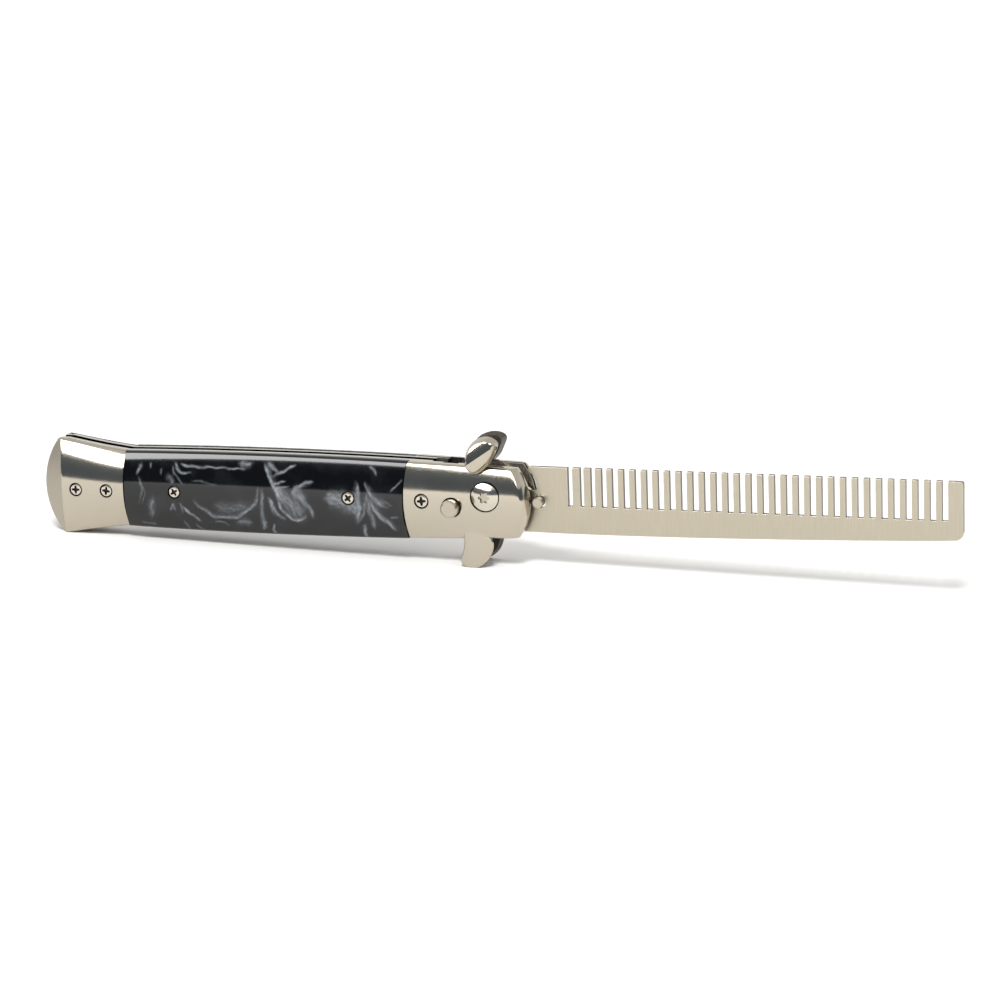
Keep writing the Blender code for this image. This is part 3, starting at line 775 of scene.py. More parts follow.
@dataclass(frozen=True)
class HandleForm:
    """Outline and cross-section that the handle's pieces share, in millimetres."""

    axis_z: float = -1.75
    half: float = 9.85
    half_at: float = -58.0
    taper: float = 1.45
    taper_length: float = 65.8
    flare: float = 2.62
    flare_power: float = 1.2
    pommel_end: float = -115.9
    pommel_end_radius: float = 19.5
    pommel_crease: float = -110.2
    crease_bow: float = 0.8
    pommel_joint: float = -93.3
    bolster_joint: float = -19.6
    joint_bow: float = 0.85
    nose_end: float = 10.25
    nose_radius: float = 13.75
    half_thickness: float = 6.5
    rim_radius: float = 0.95
    rim_height: float = 0.9
    side_inner: float = 2.7
    lean: float = 0.021
    barrel_steps: int = 44
    rim_steps: int = 7

    def half_height(self, x: float) -> float:
        """Measure the handle's height.

        Args:
            x: Place along the handle.

        Returns:
            Half of the height there.
        """
        if x < self.pommel_joint:
            share = (self.pommel_joint - x) / (self.pommel_joint - self.pommel_crease)
            return self.half_height(self.pommel_joint) + self.flare * share ** self.flare_power
        return self.half - self.taper * ((x - self.half_at) / self.taper_length) ** 2

    def pommel_end_x(self, z: float) -> float:
        """Arc of the pommel's end at a height above the axis."""
        radius = self.pommel_end_radius
        return self.pommel_end + radius - math.sqrt(radius ** 2 - z ** 2)

    def nose_x(self, z: float) -> float:
        """Arc of the bolster's nose at a height above the axis."""
        radius = self.nose_radius
        return self.nose_end - radius + math.sqrt(radius ** 2 - z ** 2)

    def bolster_joint_x(self, z: float) -> float:
        """Joint between scale and bolster, bowed a little towards the pommel."""
        share = z / self.half_height(self.bolster_joint)
        return self.bolster_joint - self.joint_bow * (1 - share ** 2)

    def section(self, height: float, fall: float) -> list[Point]:
        """Outer face of one side: a wide arc that runs into the rims' small ones.

        Args:
            height: Half of the height there.
            fall: How far the wide arc falls away towards a rim.

        Returns:
            Rows of depth and height above the axis, from the lower rim to the upper.
        """
        straight = height - self.rim_height
        radius = (straight ** 2 + fall ** 2) / (2 * fall)
        small = self.rim_radius
        meet = math.asin((height - small) / (radius - small))
        middle = self.half_thickness - radius
        upper = []
        for step in range(1, self.barrel_steps // 2 + 1):
            angle = meet * step / (self.barrel_steps // 2)
            upper.append((middle + radius * math.cos(angle), radius * math.sin(angle)))
        for step in range(1, self.rim_steps + 1):
            angle = meet + (math.pi / 2 - meet) * step / self.rim_steps
            upper.append((middle + (radius - small) * math.cos(meet) + small * math.cos(angle),
                          (radius - small) * math.sin(meet) + small * math.sin(angle)))
        lower = [(depth, -z) for depth, z in reversed(upper)]
        return lower + [(self.half_thickness, 0.0)] + upper

    def ring(self, side: Side, height: float, fall: float, place: Callable[[float], float],
             reach: float = 1.0) -> list[Vector]:
        """One closed cross-section of a side.

        Args:
            side: Side of the handle.
            height: Half of the height there.
            fall: How far the face falls away towards a rim.
            place: Place along the handle for a height above the axis.
            reach: Share of the depth that is left.

        Returns:
            Points from the lower inner corner over the outer face to the upper inner one.
        """
        rows = [(depth - self.lean * z, z) for depth, z in self.section(height, fall)]
        rows = [(self.side_inner, rows[0][1])] + rows + [(self.side_inner, rows[-1][1])]
        points = []
        for depth, z in rows:
            drawn = self.side_inner + (depth - self.side_inner) * reach
            points.append(Vector((place(z), side.value * drawn, self.axis_z + z)))
        return points


FORM = HandleForm()


@dataclass(frozen=True)
class ScrewPlace:
    """A countersunk cross-head screw: its name, place, head and the turn of its cross."""

    name: str
    x: float
    above_axis: float
    head: float
    turn: float


SCREWS = (
    ScrewPlace("pommel_screw_1", -106.4, -0.3, 1.42, 3.0),
    ScrewPlace("pommel_screw_2", -98.2, -0.35, 1.42, -5.0),
    ScrewPlace("scale_screw_1", -80.0, 0.0, 1.35, 35.0),
    ScrewPlace("scale_screw_2", -34.6, 0.2, 1.42, 40.0),
    ScrewPlace("bolster_screw", -15.9, 0.2, 1.55, 7.0),
)
SCREW_TOP = 6.45
SCREW_HEAD_DEPTH = 1.1
SCREW_SHANK = 0.8
OPEN_ABOVE = 9.5
PIVOT_AT = (0.0, 0.0)
PIVOT_HEAD = 3.35
PIVOT_SEAT = 5.3
PIVOT_BARREL = 2.0
BUTTON_AT = (-8.4, -2.8)
BUTTON_RADIUS = 2.15
PIN_AT = (11.82, -1.8)
PIN_RADIUS = 1.27


def chamfer(radius: float, width: float, at: Point, side: Side, steps: int) -> Tool:
    """Make the tool that breaks the edge of a round hole in the handle's face.

    Args:
        radius: Radius of the hole.
        width: Width of the broken edge.
        at: Place of the hole.
        side: Side of the handle.
        steps: Number of facets round the hole.

    Returns:
        The tool.
    """
    low = FORM.half_thickness - width
    rise = OPEN_ABOVE - low
    start = low - 0.5
    profile = ((0.0, start), (radius, start), (radius, low), (radius + rise, OPEN_ABOVE),
               (0.0, OPEN_ABOVE))
    return Tool(turned(profile, at, side, steps))


def screw_holes(prefix: str, side: Side, mouth: float, inside: bpy.types.Material) -> list[Tool]:
    """Tools that cut the screws' holes in one piece.

    Args:
        prefix: Start of the names of the piece's own screws.
        side: Side of the handle.
        mouth: Width of the chamfer at the hole's mouth.
        inside: Finish of the holes' walls.

    Returns:
        The tools, a chamfer and a hole for each screw.
    """
    tools = []
    seat = SCREW_TOP - SCREW_HEAD_DEPTH - GAP
    for screw in SCREWS:
        if not screw.name.startswith(prefix):
            continue
        rim = screw.head + GAP
        at = (screw.x, FORM.axis_z + screw.above_axis)
        profile = ((0.0, 1.0), (SCREW_SHANK + GAP, 1.0), (SCREW_SHANK + GAP, seat), (rim, seat),
                   (rim, OPEN_ABOVE), (0.0, OPEN_ABOVE))
        tools.append(chamfer(rim - 0.05, mouth, at, side, 60))
        # The hole's wall takes the dark inside finish, a painted shade
        tools.append(Tool(turned(profile, at, side), inside))
    return tools


def rest_on_floor(mesh: bpy.types.Mesh) -> None:
    """Flatten what would reach below the floor, as grinding the foot flat does.

    Args:
        mesh: Mesh in the handle's millimetres, which is changed.
    """
    matrix = STANCE.matrix()
    back = matrix.inverted()
    for vertex in mesh.vertices:
        placed = matrix @ vertex.co
        if placed.z < 0.0:
            placed.z = 0.0
            vertex.co = back @ placed


@dataclass
class Pommel:
    """Flared end cap of one side, with a large facet round its end."""

    side: Side
    finish: bpy.types.Material
    inside: bpy.types.Material
    fall: float = 2.4
    end_reach: float = 0.16
    end_height: float = 0.985
    crease_rows: tuple[float, ...] = (0.4, 0.16)
    end_rows: tuple[float, ...] = (0.03, 0.08, 0.3, 0.55, 0.8, 0.93, 1.0)
    rows: int = 22
    mouth: float = 0.06

    def crease_x(self, z: float) -> float:
        """Place of the crease at a height above the axis."""
        height = FORM.half_height(FORM.pommel_crease)
        return FORM.pommel_crease - FORM.crease_bow * (z / height) ** 2

    def rings(self) -> list[list[Vector]]:
        """Draw the cap's cross-sections.

        Returns:
            Rings from the joint to the very end.
        """
        joint = FORM.pommel_joint - GAP
        height = FORM.half_height(FORM.pommel_crease)
        length = joint - FORM.pommel_crease
        shares = {step / self.rows for step in range(self.rows)}
        shares |= {1 - before / length for before in self.crease_rows}
        rings = []
        for share in sorted(shares):
            x = joint - length * share
            rings.append(FORM.ring(self.side, FORM.half_height(x), self.fall,
                                   lambda z, s=share: joint * (1 - s) + self.crease_x(z) * s))
        for share in self.end_rows:
            reach = 1 - (1 - self.end_reach) * share
            tall = height * (1 - (1 - self.end_height) * share)
            rings.append(FORM.ring(self.side, tall, self.fall, lambda z, s=share: (
                self.crease_x(z) * (1 - s) + FORM.pommel_end_x(z) * s), reach))
        rings.append(FORM.ring(self.side, height * self.end_height, self.fall,
                               FORM.pommel_end_x, 0.0))
        return rings

    def build(self) -> bpy.types.Object:
        """Build the cap with its screw holes, its end facet marked as satin.

        Returns:
            The piece.
        """
        holes = screw_holes("pommel", self.side, self.mouth, self.inside)
        mesh = combined(loft(self.rings()), holes, self.finish)
        # The end facet is marked satin: it is rougher, and its colour is darkened as painted shade
        satin = mesh.attributes.new("satin", "FLOAT", "POINT")
        for vertex in mesh.vertices:
            inward = vertex.co.x - self.crease_x(vertex.co.z - FORM.axis_z)
            satin.data[vertex.index].value = 1.0 if inward < 0.05 else 0.0
        rest_on_floor(mesh)
        return hang(mesh, "end_cap_" + self.side.word, Body.HANDLE,
                    ["pommel_" + self.side.word])


@dataclass(frozen=True)
class Feather:
    """Drift of pearl in the acrylic: a curved stroke that fades to its sides and ends.

    Its path runs along the handle and above its axis, and its width goes from start to end. A
    positive lean lets it fade more slowly on the left of its path. The tail is the share of its
    strength that is left at its ends.
    """

    path: tuple[Point, ...]
    start: float
    end: float
    strength: float
    lean: float = 0.0
    tail: float = 0.35
    finest: float = 0.18

    def amount(self, places: np.ndarray) -> np.ndarray:
        """Work out the pearl that the feather adds.

        Args:
            places: Rows of places along the handle and above its axis.

        Returns:
            Share of pearl at each place, streaked like silk along the feather.
        """
        line = np.array([tuple(point) for point in smooth_path(self.path, 8)])
        away = places[:, None, :] - line[None, :, :]
        near = np.argmin((away ** 2).sum(axis=2), axis=1)
        offset = away[np.arange(len(places)), near]
        along = np.gradient(line, axis=0)
        along = (along / np.hypot(along[:, 0], along[:, 1])[:, None])[near]
        across = along[:, 0] * offset[:, 1] - along[:, 1] * offset[:, 0]
        past = (along * offset).sum(axis=1)
        beyond = ((near == 0) & (past < 0)) | ((near == len(line) - 1) & (past > 0))
        left = np.where(across < 0, -1.0, 1.0)
        share = near / (len(line) - 1)
        wisp = np.clip(self.tail + 4 * share * (1 - share), 0.0, 1.0)
        width = (self.start + (self.end - self.start) * share) * (0.45 + 0.4 * wisp)
        width = np.maximum(width * (1 + self.lean * left), self.finest)
        away_by = left * np.hypot(across, np.where(beyond, past, 0.0))
        run = np.concatenate(([0.0], np.cumsum(np.hypot(*np.diff(line, axis=0).T))))[near] + past
        silk = 1 + 0.2 * np.sin(6 * away_by + 2 * np.sin(0.9 * run))
        silk += 0.15 * np.sin(13 * away_by + 1.3 + 3 * np.sin(1.7 * run + 2))
        silk += 0.2 * np.sin(1.9 * run + 4 * away_by + self.start * 20)
        return np.clip(self.strength * wisp * silk * np.exp(-(away_by / width) ** 2), 0.0, 1.0)


# Feathers of the front scale, in the handle's millimetres, from the pommel to the bolster
FEATHERS = (
    Feather(((-88.8, 6.5), (-89.1, 5.5), (-89.6, 4.0)), 0.55, 0.3, 0.5),
    Feather(((-89.3, 3.5), (-88.6, 1.3), (-89.0, -0.6), (-89.5, -2.9)), 0.3, 0.14, 0.24),
    Feather(((-89.1, 2.4), (-88.0, 0.1), (-88.6, -3.1)), 0.3, 0.12, 0.22),
    Feather(((-86.6, 6.8), (-86.1, 5.6)), 0.35, 0.2, 0.4),
    Feather(((-83.4, 5.9), (-83.3, 4.5)), 0.3, 0.2, 0.25),
    Feather(((-80.5, 6.3), (-79.8, 4.7), (-78.6, 3.2), (-77.4, 2.0)), 0.3, 0.2, 0.4),
    Feather(((-81.5, 4.1), (-80.6, 2.7), (-80.4, 1.9)), 0.8, 0.5, 0.35),
    Feather(((-79.8, 7.2), (-79.0, 5.7), (-77.6, 4.8), (-75.5, 5.1)), 0.35, 0.25, 0.7),
    Feather(((-78.3, 6.9), (-76.7, 6.4), (-71.4, 6.3), (-65.1, 6.3), (-61.4, 6.1)), 0.3, 0.18, 0.7),
    Feather(((-62.7, 7.3), (-61.1, 7.2), (-59.5, 7.7)), 0.8, 0.7, 0.6),
    Feather(((-85.8, -2.0), (-86.2, -4.0), (-86.5, -6.5)), 0.9, 0.8, 0.3),
    Feather(((-80.4, -2.8), (-81.2, -4.7)), 0.3, 0.3, 0.3),
    Feather(((-80.5, -2.8), (-80.1, -4.6)), 0.3, 0.25, 0.3),
    Feather(((-78.7, -2.6), (-77.9, -4.9)), 0.3, 0.25, 0.35),
    Feather(((-78.0, -3.4), (-75.8, -5.4), (-73.5, -7.1)), 0.25, 0.35, 0.65),
    Feather(((-75.0, -2.2), (-73.0, -3.7), (-71.1, -5.1), (-69.2, -5.8), (-66.2, -5.8), (-63.7, -5.6),
             (-62.0, -4.9), (-60.4, -3.5), (-58.9, -2.4), (-58.0, -0.4), (-57.6, 1.5)),
            0.5, 0.4, 0.5, 0.35),
    Feather(((-68.9, -3.0), (-65.4, -3.5), (-60.5, -2.7)), 1.6, 1.2, 0.22),
    Feather(((-63.9, -7.0), (-61.9, -6.8), (-60.3, -7.2)), 0.9, 0.7, 0.3),
    Feather(((-69.9, -6.8), (-67.7, -7.3), (-66.1, -8.0)), 0.25, 0.2, 0.35),
    Feather(((-78.1, -7.0), (-76.6, -9.6)), 0.3, 0.3, 0.22),
    Feather(((-75.0, -8.1), (-72.6, -9.7)), 0.3, 0.25, 0.22),
    Feather(((-89.6, -8.0), (-85.8, -8.4)), 0.4, 0.3, 0.2),
    Feather(((-75.3, 3.1), (-71.5, 2.8), (-68.5, 2.2)), 0.2, 0.15, 0.22),
    Feather(((-56.2, 7.4), (-55.5, 5.6), (-54.3, 3.3), (-53.3, 1.0), (-51.7, -1.4)),
            0.55, 0.75, 0.8, 0.6),
    Feather(((-55.2, 7.9), (-53.8, 6.6)), 0.7, 0.5, 0.45),
    Feather(((-56.7, 1.3), (-57.0, -2.8), (-57.1, -5.5), (-56.5, -8.0)), 0.5, 0.6, 0.42),
    Feather(((-55.3, -0.3), (-54.3, -2.7), (-53.8, -4.6)), 0.5, 0.4, 0.4),
    Feather(((-54.9, 7.7), (-53.8, 6.8), (-52.6, 5.9)), 0.45, 0.4, 0.5),
    Feather(((-48.1, 7.6), (-50.0, 6.5), (-52.2, 5.7), (-53.5, 4.7)), 0.3, 0.4, 0.7),
    Feather(((-53.9, 2.8), (-50.8, 3.7)), 0.35, 0.2, 0.65),
    Feather(((-54.1, 2.3), (-52.4, 2.1), (-49.8, 2.5)), 0.35, 0.2, 0.5),
    Feather(((-53.4, 2.1), (-51.2, 0.1), (-48.7, -2.2), (-46.9, -4.6)), 1.1, 2.6, 0.42),
    Feather(((-53.4, 0.7), (-52.4, -2.1), (-50.8, -4.4), (-49.1, -5.8), (-47.1, -5.9),
             (-45.7, -4.8)), 0.35, 0.5, 0.65, 0.5),
    Feather(((-43.7, 4.0), (-45.9, 3.4), (-47.8, 2.5), (-49.1, 1.2)), 0.35, 0.6, 0.6, 0.4),
    Feather(((-49.1, 1.2), (-47.5, 0.2), (-45.5, -1.6), (-44.1, -3.6), (-43.7, -5.0)),
            0.7, 0.4, 0.5),
    Feather(((-47.9, 2.3), (-47.0, 0.9), (-45.6, -0.7)), 1.1, 0.8, 0.35),
    Feather(((-55.1, -0.7), (-53.9, -2.5), (-52.7, -4.6), (-51.1, -5.8)), 0.35, 0.4, 0.55),
    Feather(((-54.0, -6.9), (-54.6, -8.6), (-54.0, -9.3)), 0.3, 0.4, 0.5),
    Feather(((-56.5, -6.4), (-57.1, -8.6)), 0.4, 0.4, 0.35),
    Feather(((-40.1, 0.0), (-37.6, -0.1), (-34.7, -0.7)), 1.4, 2.4, 0.55),
    Feather(((-34.7, -0.5), (-33.1, -1.6), (-32.2, -3.3)), 2.4, 1.8, 0.5),
    Feather(((-32.3, 3.9), (-31.9, 1.5), (-31.7, -1.8), (-32.3, -5.7)), 0.6, 0.6, 0.55, -0.4),
    Feather(((-30.1, 4.2), (-29.5, 2.3), (-28.1, 0.2), (-26.4, -1.1), (-25.4, -1.7)),
            0.4, 1.0, 0.5, 0.4),
    Feather(((-30.0, 1.6), (-29.4, -1.5), (-28.5, -4.8), (-28.0, -6.9)), 0.7, 0.6, 0.38),
    Feather(((-29.1, -0.3), (-27.1, -3.5), (-25.3, -5.2), (-22.8, -7.3)), 0.6, 0.5, 0.7, 0.4),
    Feather(((-30.3, -0.5), (-30.7, -3.2), (-32.2, -6.0)), 0.4, 0.3, 0.3),
    Feather(((-30.4, -6.2), (-30.9, -8.2), (-30.4, -9.3)), 0.5, 0.6, 0.5),
    Feather(((-36.9, -9.6), (-36.2, -9.7)), 0.5, 0.5, 0.5),
    Feather(((-29.3, 7.9), (-27.9, 7.0), (-27.2, 5.9)), 0.4, 0.3, 0.5),
    Feather(((-21.0, 5.1), (-22.3, 3.7), (-23.7, 2.1)), 0.16, 0.14, 0.5),
    Feather(((-24.0, -4.2), (-21.8, -3.9)), 0.4, 0.3, 0.25),
    Feather(((-25.2, -0.1), (-23.3, -1.2)), 0.3, 0.3, 0.15),
)


@dataclass
class GripScale:
    """Acrylic grip of one side, with feathers of pearl.

    The rear scale is cut from the same sheet, turned by half a turn.
    """

    side: Side
    finish: bpy.types.Material
    inside: bpy.types.Material
    form: HandleForm = field(default_factory=lambda: replace(FORM, barrel_steps=100))
    fall: float = 1.75
    front_fall: float = 1.3
    twist: float = 0.045
    rows: int = 300
    drift: float = 0.4
    drift_size: float = 2.6
    fibre_size: float = 0.8
    mist: float = 0.035
    mist_size: float = 6.0
    seed: int = 12

    def rings(self) -> list[list[Vector]]:
        """Cross-sections from the pommel to the bolster."""
        start = self.form.pommel_joint
        rings = []
        for step in range(self.rows + 1):
            share = step / self.rows
            form = replace(self.form, lean=self.form.lean + self.twist * share)
            fall = self.fall * (1 - share) + self.front_fall * share
            x = start * (1 - share) + (form.bolster_joint - GAP) * share
            rings.append(form.ring(self.side, form.half_height(x), fall, lambda z, s=share: (
                start * (1 - s) + (self.form.bolster_joint_x(z) - GAP) * s)))
        return rings

    def pearl(self, mesh: bpy.types.Mesh) -> np.ndarray:
        """Work out the pearl of the scale, the same in each run.

        Args:
            mesh: Mesh of the scale in the handle's millimetres.

        Returns:
            Amount of pearl at each point, from 0 to 1.
        """
        noise.seed_set(self.seed)
        places = []
        fibres = []
        mists = []
        for vertex in mesh.vertices:
            at = Vector((vertex.co.x, vertex.co.z - self.form.axis_z))
            if self.side is Side.REAR:
                at = Vector((self.form.pommel_joint + self.form.bolster_joint - at.x, -at.y))
            spot = Vector((at.x, at.y, 0.0))
            bend = noise.noise_vector(spot / self.drift_size) * self.drift
            bend += noise.noise_vector(spot / self.fibre_size) * (0.3 * self.drift)
            places.append((at.x + bend.x, at.y + bend.y))
            fibres.append(noise.fractal(spot / self.fibre_size, 0.8, 2.0, 3))
            mists.append(noise.fractal(spot / self.mist_size + Vector((0.0, 0.0, 7.0)), 1.0, 2.0, 4))
        clear = np.ones(len(places))
        for feather in FEATHERS:
            clear *= 1 - feather.amount(np.array(places))
        broken = np.clip(0.95 + 0.35 * np.array(fibres), 0.6, 1.2)
        haze = self.mist * np.clip(np.array(mists), 0.0, 1.0)
        return np.clip((1 - clear) * broken + haze, 0.0, 1.0)

    def build(self) -> bpy.types.Object:
        """Build the scale, with the pearl stored on its points."""
        mesh = combined(loft(self.rings()), screw_holes("scale", self.side, 0.15, self.inside),
                        self.finish)
        stored = mesh.attributes.new("pearl", "FLOAT", "POINT")
        stored.data.foreach_set("value", self.pearl(mesh).astype(np.float32))
        return hang(mesh, "grip_scale_" + self.side.word, Body.HANDLE,
                    ["scale_" + self.side.word])


@dataclass(frozen=True)
class GuardEar:
    """Lobe of the guard, ground to two flats that meet in a ridge.

    Outline and ridge are given along the handle and above its axis. A flat falls away from the
    ridge by a share of the distance, and the left one, seen along the ridge, bends further down.
    """

    outline: tuple[Point, ...]
    ridge: tuple[Point, Point]
    left_fall: float
    left_bend: float
    right_fall: float
    rim: float = 0.8
    rim_drop: float = 0.9
    inner: float = 3.2
    top: float = 7.35
    root_size: float = 0.86
    loops: tuple[float, ...] = (1.0, 0.975, 0.945, 0.91, 0.87, 0.83, 0.79, 0.75)
    core: float = 0.71
    spacing: float = 0.45

    def moved(self, along: float, up: float) -> GuardEar:
        """The same lobe at another place."""
        def place(point: Point) -> Point:
            return point[0] + along, point[1] + up

        first, last = self.ridge
        return replace(self, outline=tuple(place(point) for point in self.outline),
                       ridge=(place(first), place(last)))

    def depth(self, at: Vector, loop: Sequence[Vector]) -> float:
        """Depth of the lobe's face at a place inside its outline."""
        first, last = Vector(self.ridge[0]), Vector(self.ridge[1])
        along = (last - first).normalized()
        offset = along.x * (at.y - first.y) - along.y * (at.x - first.x)
        left = max(offset, 0.0)
        fall = self.left_fall * left + self.left_bend * left ** 2
        fall += self.right_fall * max(-offset, 0.0)
        edge = min(segment_distance(at, one, two) for one, two in zip(loop, loop[1:] + loop[:1]))
        near = max(0.0, 1 - edge / self.rim)
        return self.top - fall - self.rim_drop * near ** 2

    def solid(self, side: Side) -> bmesh.types.BMesh:
        """Closed lobe on one side of the handle."""
        loop = smooth_path(self.outline, 9, closed=True)
        centre = sum(loop, Vector((0.0, 0.0))) / len(loop)
        points = []
        edges = []
        for size in self.loops:
            start = len(points)
            points += [centre + (point - centre) * size for point in loop]
            edges += [(start + i, start + (i + 1) % len(loop)) for i in range(len(loop))]
        first, last = Vector(self.ridge[0]), Vector(self.ridge[1])
        steps = max(2, int((last - first).length / self.spacing))
        start = len(points)
        points += [first.lerp(last, step / steps) for step in range(steps + 1)]
        edges += [(start + step, start + step + 1) for step in range(steps)]
        inner = [centre + (point - centre) * self.core for point in loop]
        low = Vector((min(p.x for p in inner), min(p.y for p in inner)))
        high = Vector((max(p.x for p in inner), max(p.y for p in inner)))
        for i in range(int((high.x - low.x) / self.spacing) + 1):
            for k in range(int((high.y - low.y) / self.spacing) + 1):
                spot = low + Vector((i, k)) * self.spacing
                off_ridge = segment_distance(spot, first, last)
                if within(spot, inner) and off_ridge > 0.3 * self.spacing:
                    points.append(spot)
        places, _, faces, *_ = geometry.delaunay_2d_cdt(points, edges, [], 1, 1e-5)
        bm = bmesh.new()
        skin = [bm.verts.new((at.x, side.value * self.depth(at, loop), FORM.axis_z + at.y))
                for at in places]
        for face in faces:
            bm.faces.new([skin[i] for i in face])
        rim = [edge for edge in bm.edges if edge.is_boundary]
        wall = bmesh.ops.extrude_edge_only(bm, edges=rim)["geom"]
        for vertex in (item for item in wall if isinstance(item, bmesh.types.BMVert)):
            flat = Vector((vertex.co.x, vertex.co.z - FORM.axis_z))
            flat = centre + (flat - centre) * self.root_size
            vertex.co = (flat.x, side.value * self.inner, FORM.axis_z + flat.y)
        bmesh.ops.holes_fill(bm, edges=[edge for edge in bm.edges if edge.is_boundary], sides=0)
        return bm


UPPER_EAR = GuardEar(
    outline=((-4.9, 9.1), (-4.95, 11.5), (-4.2, 13.4), (-2.5, 15.1), (-0.2, 16.0), (1.6, 16.0),
             (3.0, 15.4), (3.5, 14.3), (2.8, 12.4), (1.8, 10.4), (0.4, 8.9), (-1.2, 7.6),
             (-2.6, 7.1), (-3.7, 7.5), (-4.6, 8.3)),
    ridge=((-4.3, 9.3), (3.1, 14.2)), left_fall=0.2, left_bend=0.06, right_fall=0.04,
    rim=1.1, rim_drop=1.6)
LOWER_EAR = GuardEar(
    outline=((-5.9, -7.6), (-5.9, -9.7), (-6.2, -11.7), (-6.9, -13.6), (-6.9, -14.7),
             (-5.9, -15.6), (-4.5, -16.1), (-3.0, -15.9), (-1.5, -15.1), (0.0, -13.7),
             (0.9, -12.1), (1.3, -10.5), (1.1, -9.0), (-0.2, -7.6), (-1.9, -6.4), (-3.6, -6.2),
             (-5.0, -6.6)),
    ridge=((-4.3, -7.6), (-4.6, -14.8)), left_fall=0.1, left_bend=0.0, right_fall=0.12,
    rim=0.4, rim_drop=0.25, top=5.55)
EARS = {Side.FRONT: (UPPER_EAR, LOWER_EAR),
        Side.REAR: (UPPER_EAR.moved(-1.4, -0.6), LOWER_EAR.moved(-0.5, 0.0))}


@dataclass
class PinTrack:
    """Room that the comb's stop pin sweeps inside the handle as the comb folds."""

    pin: Point = PIN_AT
    radius: float = PIN_RADIUS
    entry: float = 115.0
    depth: float = 3.2

    def tool(self, side: Side, inside: bpy.types.Material) -> Tool:
        """Tool that clears the sweep on one side."""
        distance = math.hypot(*self.pin)
        reach = self.radius + GAP
        rest = 180 + math.degrees(math.atan2(self.pin[1], self.pin[0]))
        points = arc((0.0, 0.0), distance + reach, self.entry, rest, 24)
        points += arc((-self.pin[0], -self.pin[1]), reach, rest, rest + 180, 12)[1:-1]
        points += arc((0.0, 0.0), distance - reach, rest, self.entry, 24)
        low, high = sorted((0.0, side.value * self.depth))
        # The track's walls take the dark inside finish, a painted shade
        return Tool(plate(points, low, high), inside)


@dataclass
class Bolster:
    """Front end of one side, cast in one with two guard ears."""

    side: Side
    finish: bpy.types.Material
    inside: bpy.types.Material
    # Dark steel painted as shade on the faces towards the slot
    cast: bpy.types.Material
    fall: float = 1.4
    nose_start: float = 1.7
    nose_reach: float = 0.45
    nose_power: float = 1.8
    nose_corner: float = 8.3
    rows: int = 30
    nose_rows: int = 16
    mouth: float = 0.06
    button_mouth: float = 0.1
    hole_start: float = 2.0
    sharp: float = 11.0
    form: HandleForm = field(default_factory=lambda: replace(FORM, rim_steps=12, lean=0.009))

    def rings(self) -> list[list[Vector]]:
        """Cross-sections from the scale to the nose."""
        form = self.form
        end = form.nose_x(self.nose_corner)
        rings = []
        for step in range(self.rows + 1):
            share = step / self.rows
            x = form.bolster_joint * (1 - share) + (end - self.nose_start) * share
            rings.append(form.ring(self.side, form.half_height(x), self.fall, lambda z, s=share: (
                form.bolster_joint_x(z) * (1 - s) + (form.nose_x(z) - self.nose_start) * s)))
        for step in range(1, self.nose_rows + 1):
            share = step / self.nose_rows
            back = self.nose_start * (1 - share)
            reach = 1 - (1 - self.nose_reach) * share ** self.nose_power
            rings.append(form.ring(self.side, form.half_height(end - back), self.fall,
                                   lambda z, b=back: form.nose_x(z) - b, reach))
        rings.append(form.ring(self.side, form.half_height(end), self.fall, form.nose_x, 0.0))
        return rings

    def tools(self) -> list[Tool]:
        """Ears to join, and the seats and holes to cut."""
        tools = [Tool(ear.solid(self.side), None, "UNION") for ear in EARS[self.side]]
        tools += screw_holes("bolster", self.side, self.mouth, self.inside)
        start = self.hole_start
        rim = PIVOT_HEAD + GAP
        bore = PIVOT_BARREL + GAP
        tools.append(chamfer(rim - 0.05, self.mouth, PIVOT_AT, self.side, 90))
        seat = ((0.0, start), (bore, start), (bore, PIVOT_SEAT), (rim, PIVOT_SEAT),
                (rim, OPEN_ABOVE), (0.0, OPEN_ABOVE))
        # The seat, the button's hole and the pin's track take the dark inside finish, a painted shade
        tools.append(Tool(turned(seat, PIVOT_AT, self.side, 96), self.inside))
        if self.side is Side.FRONT:
            hole = BUTTON_RADIUS + GAP
            tools.append(chamfer(hole - 0.05, self.button_mouth, BUTTON_AT, self.side, 66))
            profile = ((0.0, start), (hole, start), (hole, OPEN_ABOVE), (0.0, OPEN_ABOVE))
            tools.append(Tool(turned(profile, BUTTON_AT, self.side, 72), self.inside))
        tools.append(PinTrack().tool(self.side, self.inside))
        return tools

    def leave_cast(self, mesh: bpy.types.Mesh) -> None:
        """Paint dark grey shade on what faces the slot."""
        mesh.materials.append(self.cast)
        for polygon in mesh.polygons:
            if polygon.material_index == 0 and self.side.value * polygon.normal.y < -0.05:
                polygon.material_index = len(mesh.materials) - 1

    def build(self) -> bpy.types.Object:
        """Build the bolster with its ears."""
        mesh = combined(loft(self.rings()), self.tools(), self.finish)
        self.leave_cast(mesh)
        rest_on_floor(mesh)
        return hang(mesh, "guard_bolster_" + self.side.word, Body.HANDLE,
                    ["bolster_" + self.side.word], self.sharp)


@dataclass
class Liners:
    """Steel plates on both sides of the slot, and the strip that closes the back."""

    finish: bpy.types.Material
    nodes: tuple[str, ...] = ("liner_front", "liner_rear", "spacer")

    def dress(self, frame: dict) -> None:
        """Give the carried-over plates their finish."""
        for name in self.nodes:
            node = frame["nodes"][name]
            node.data.materials.clear()
            node.data.materials.append(self.finish)


# Comb


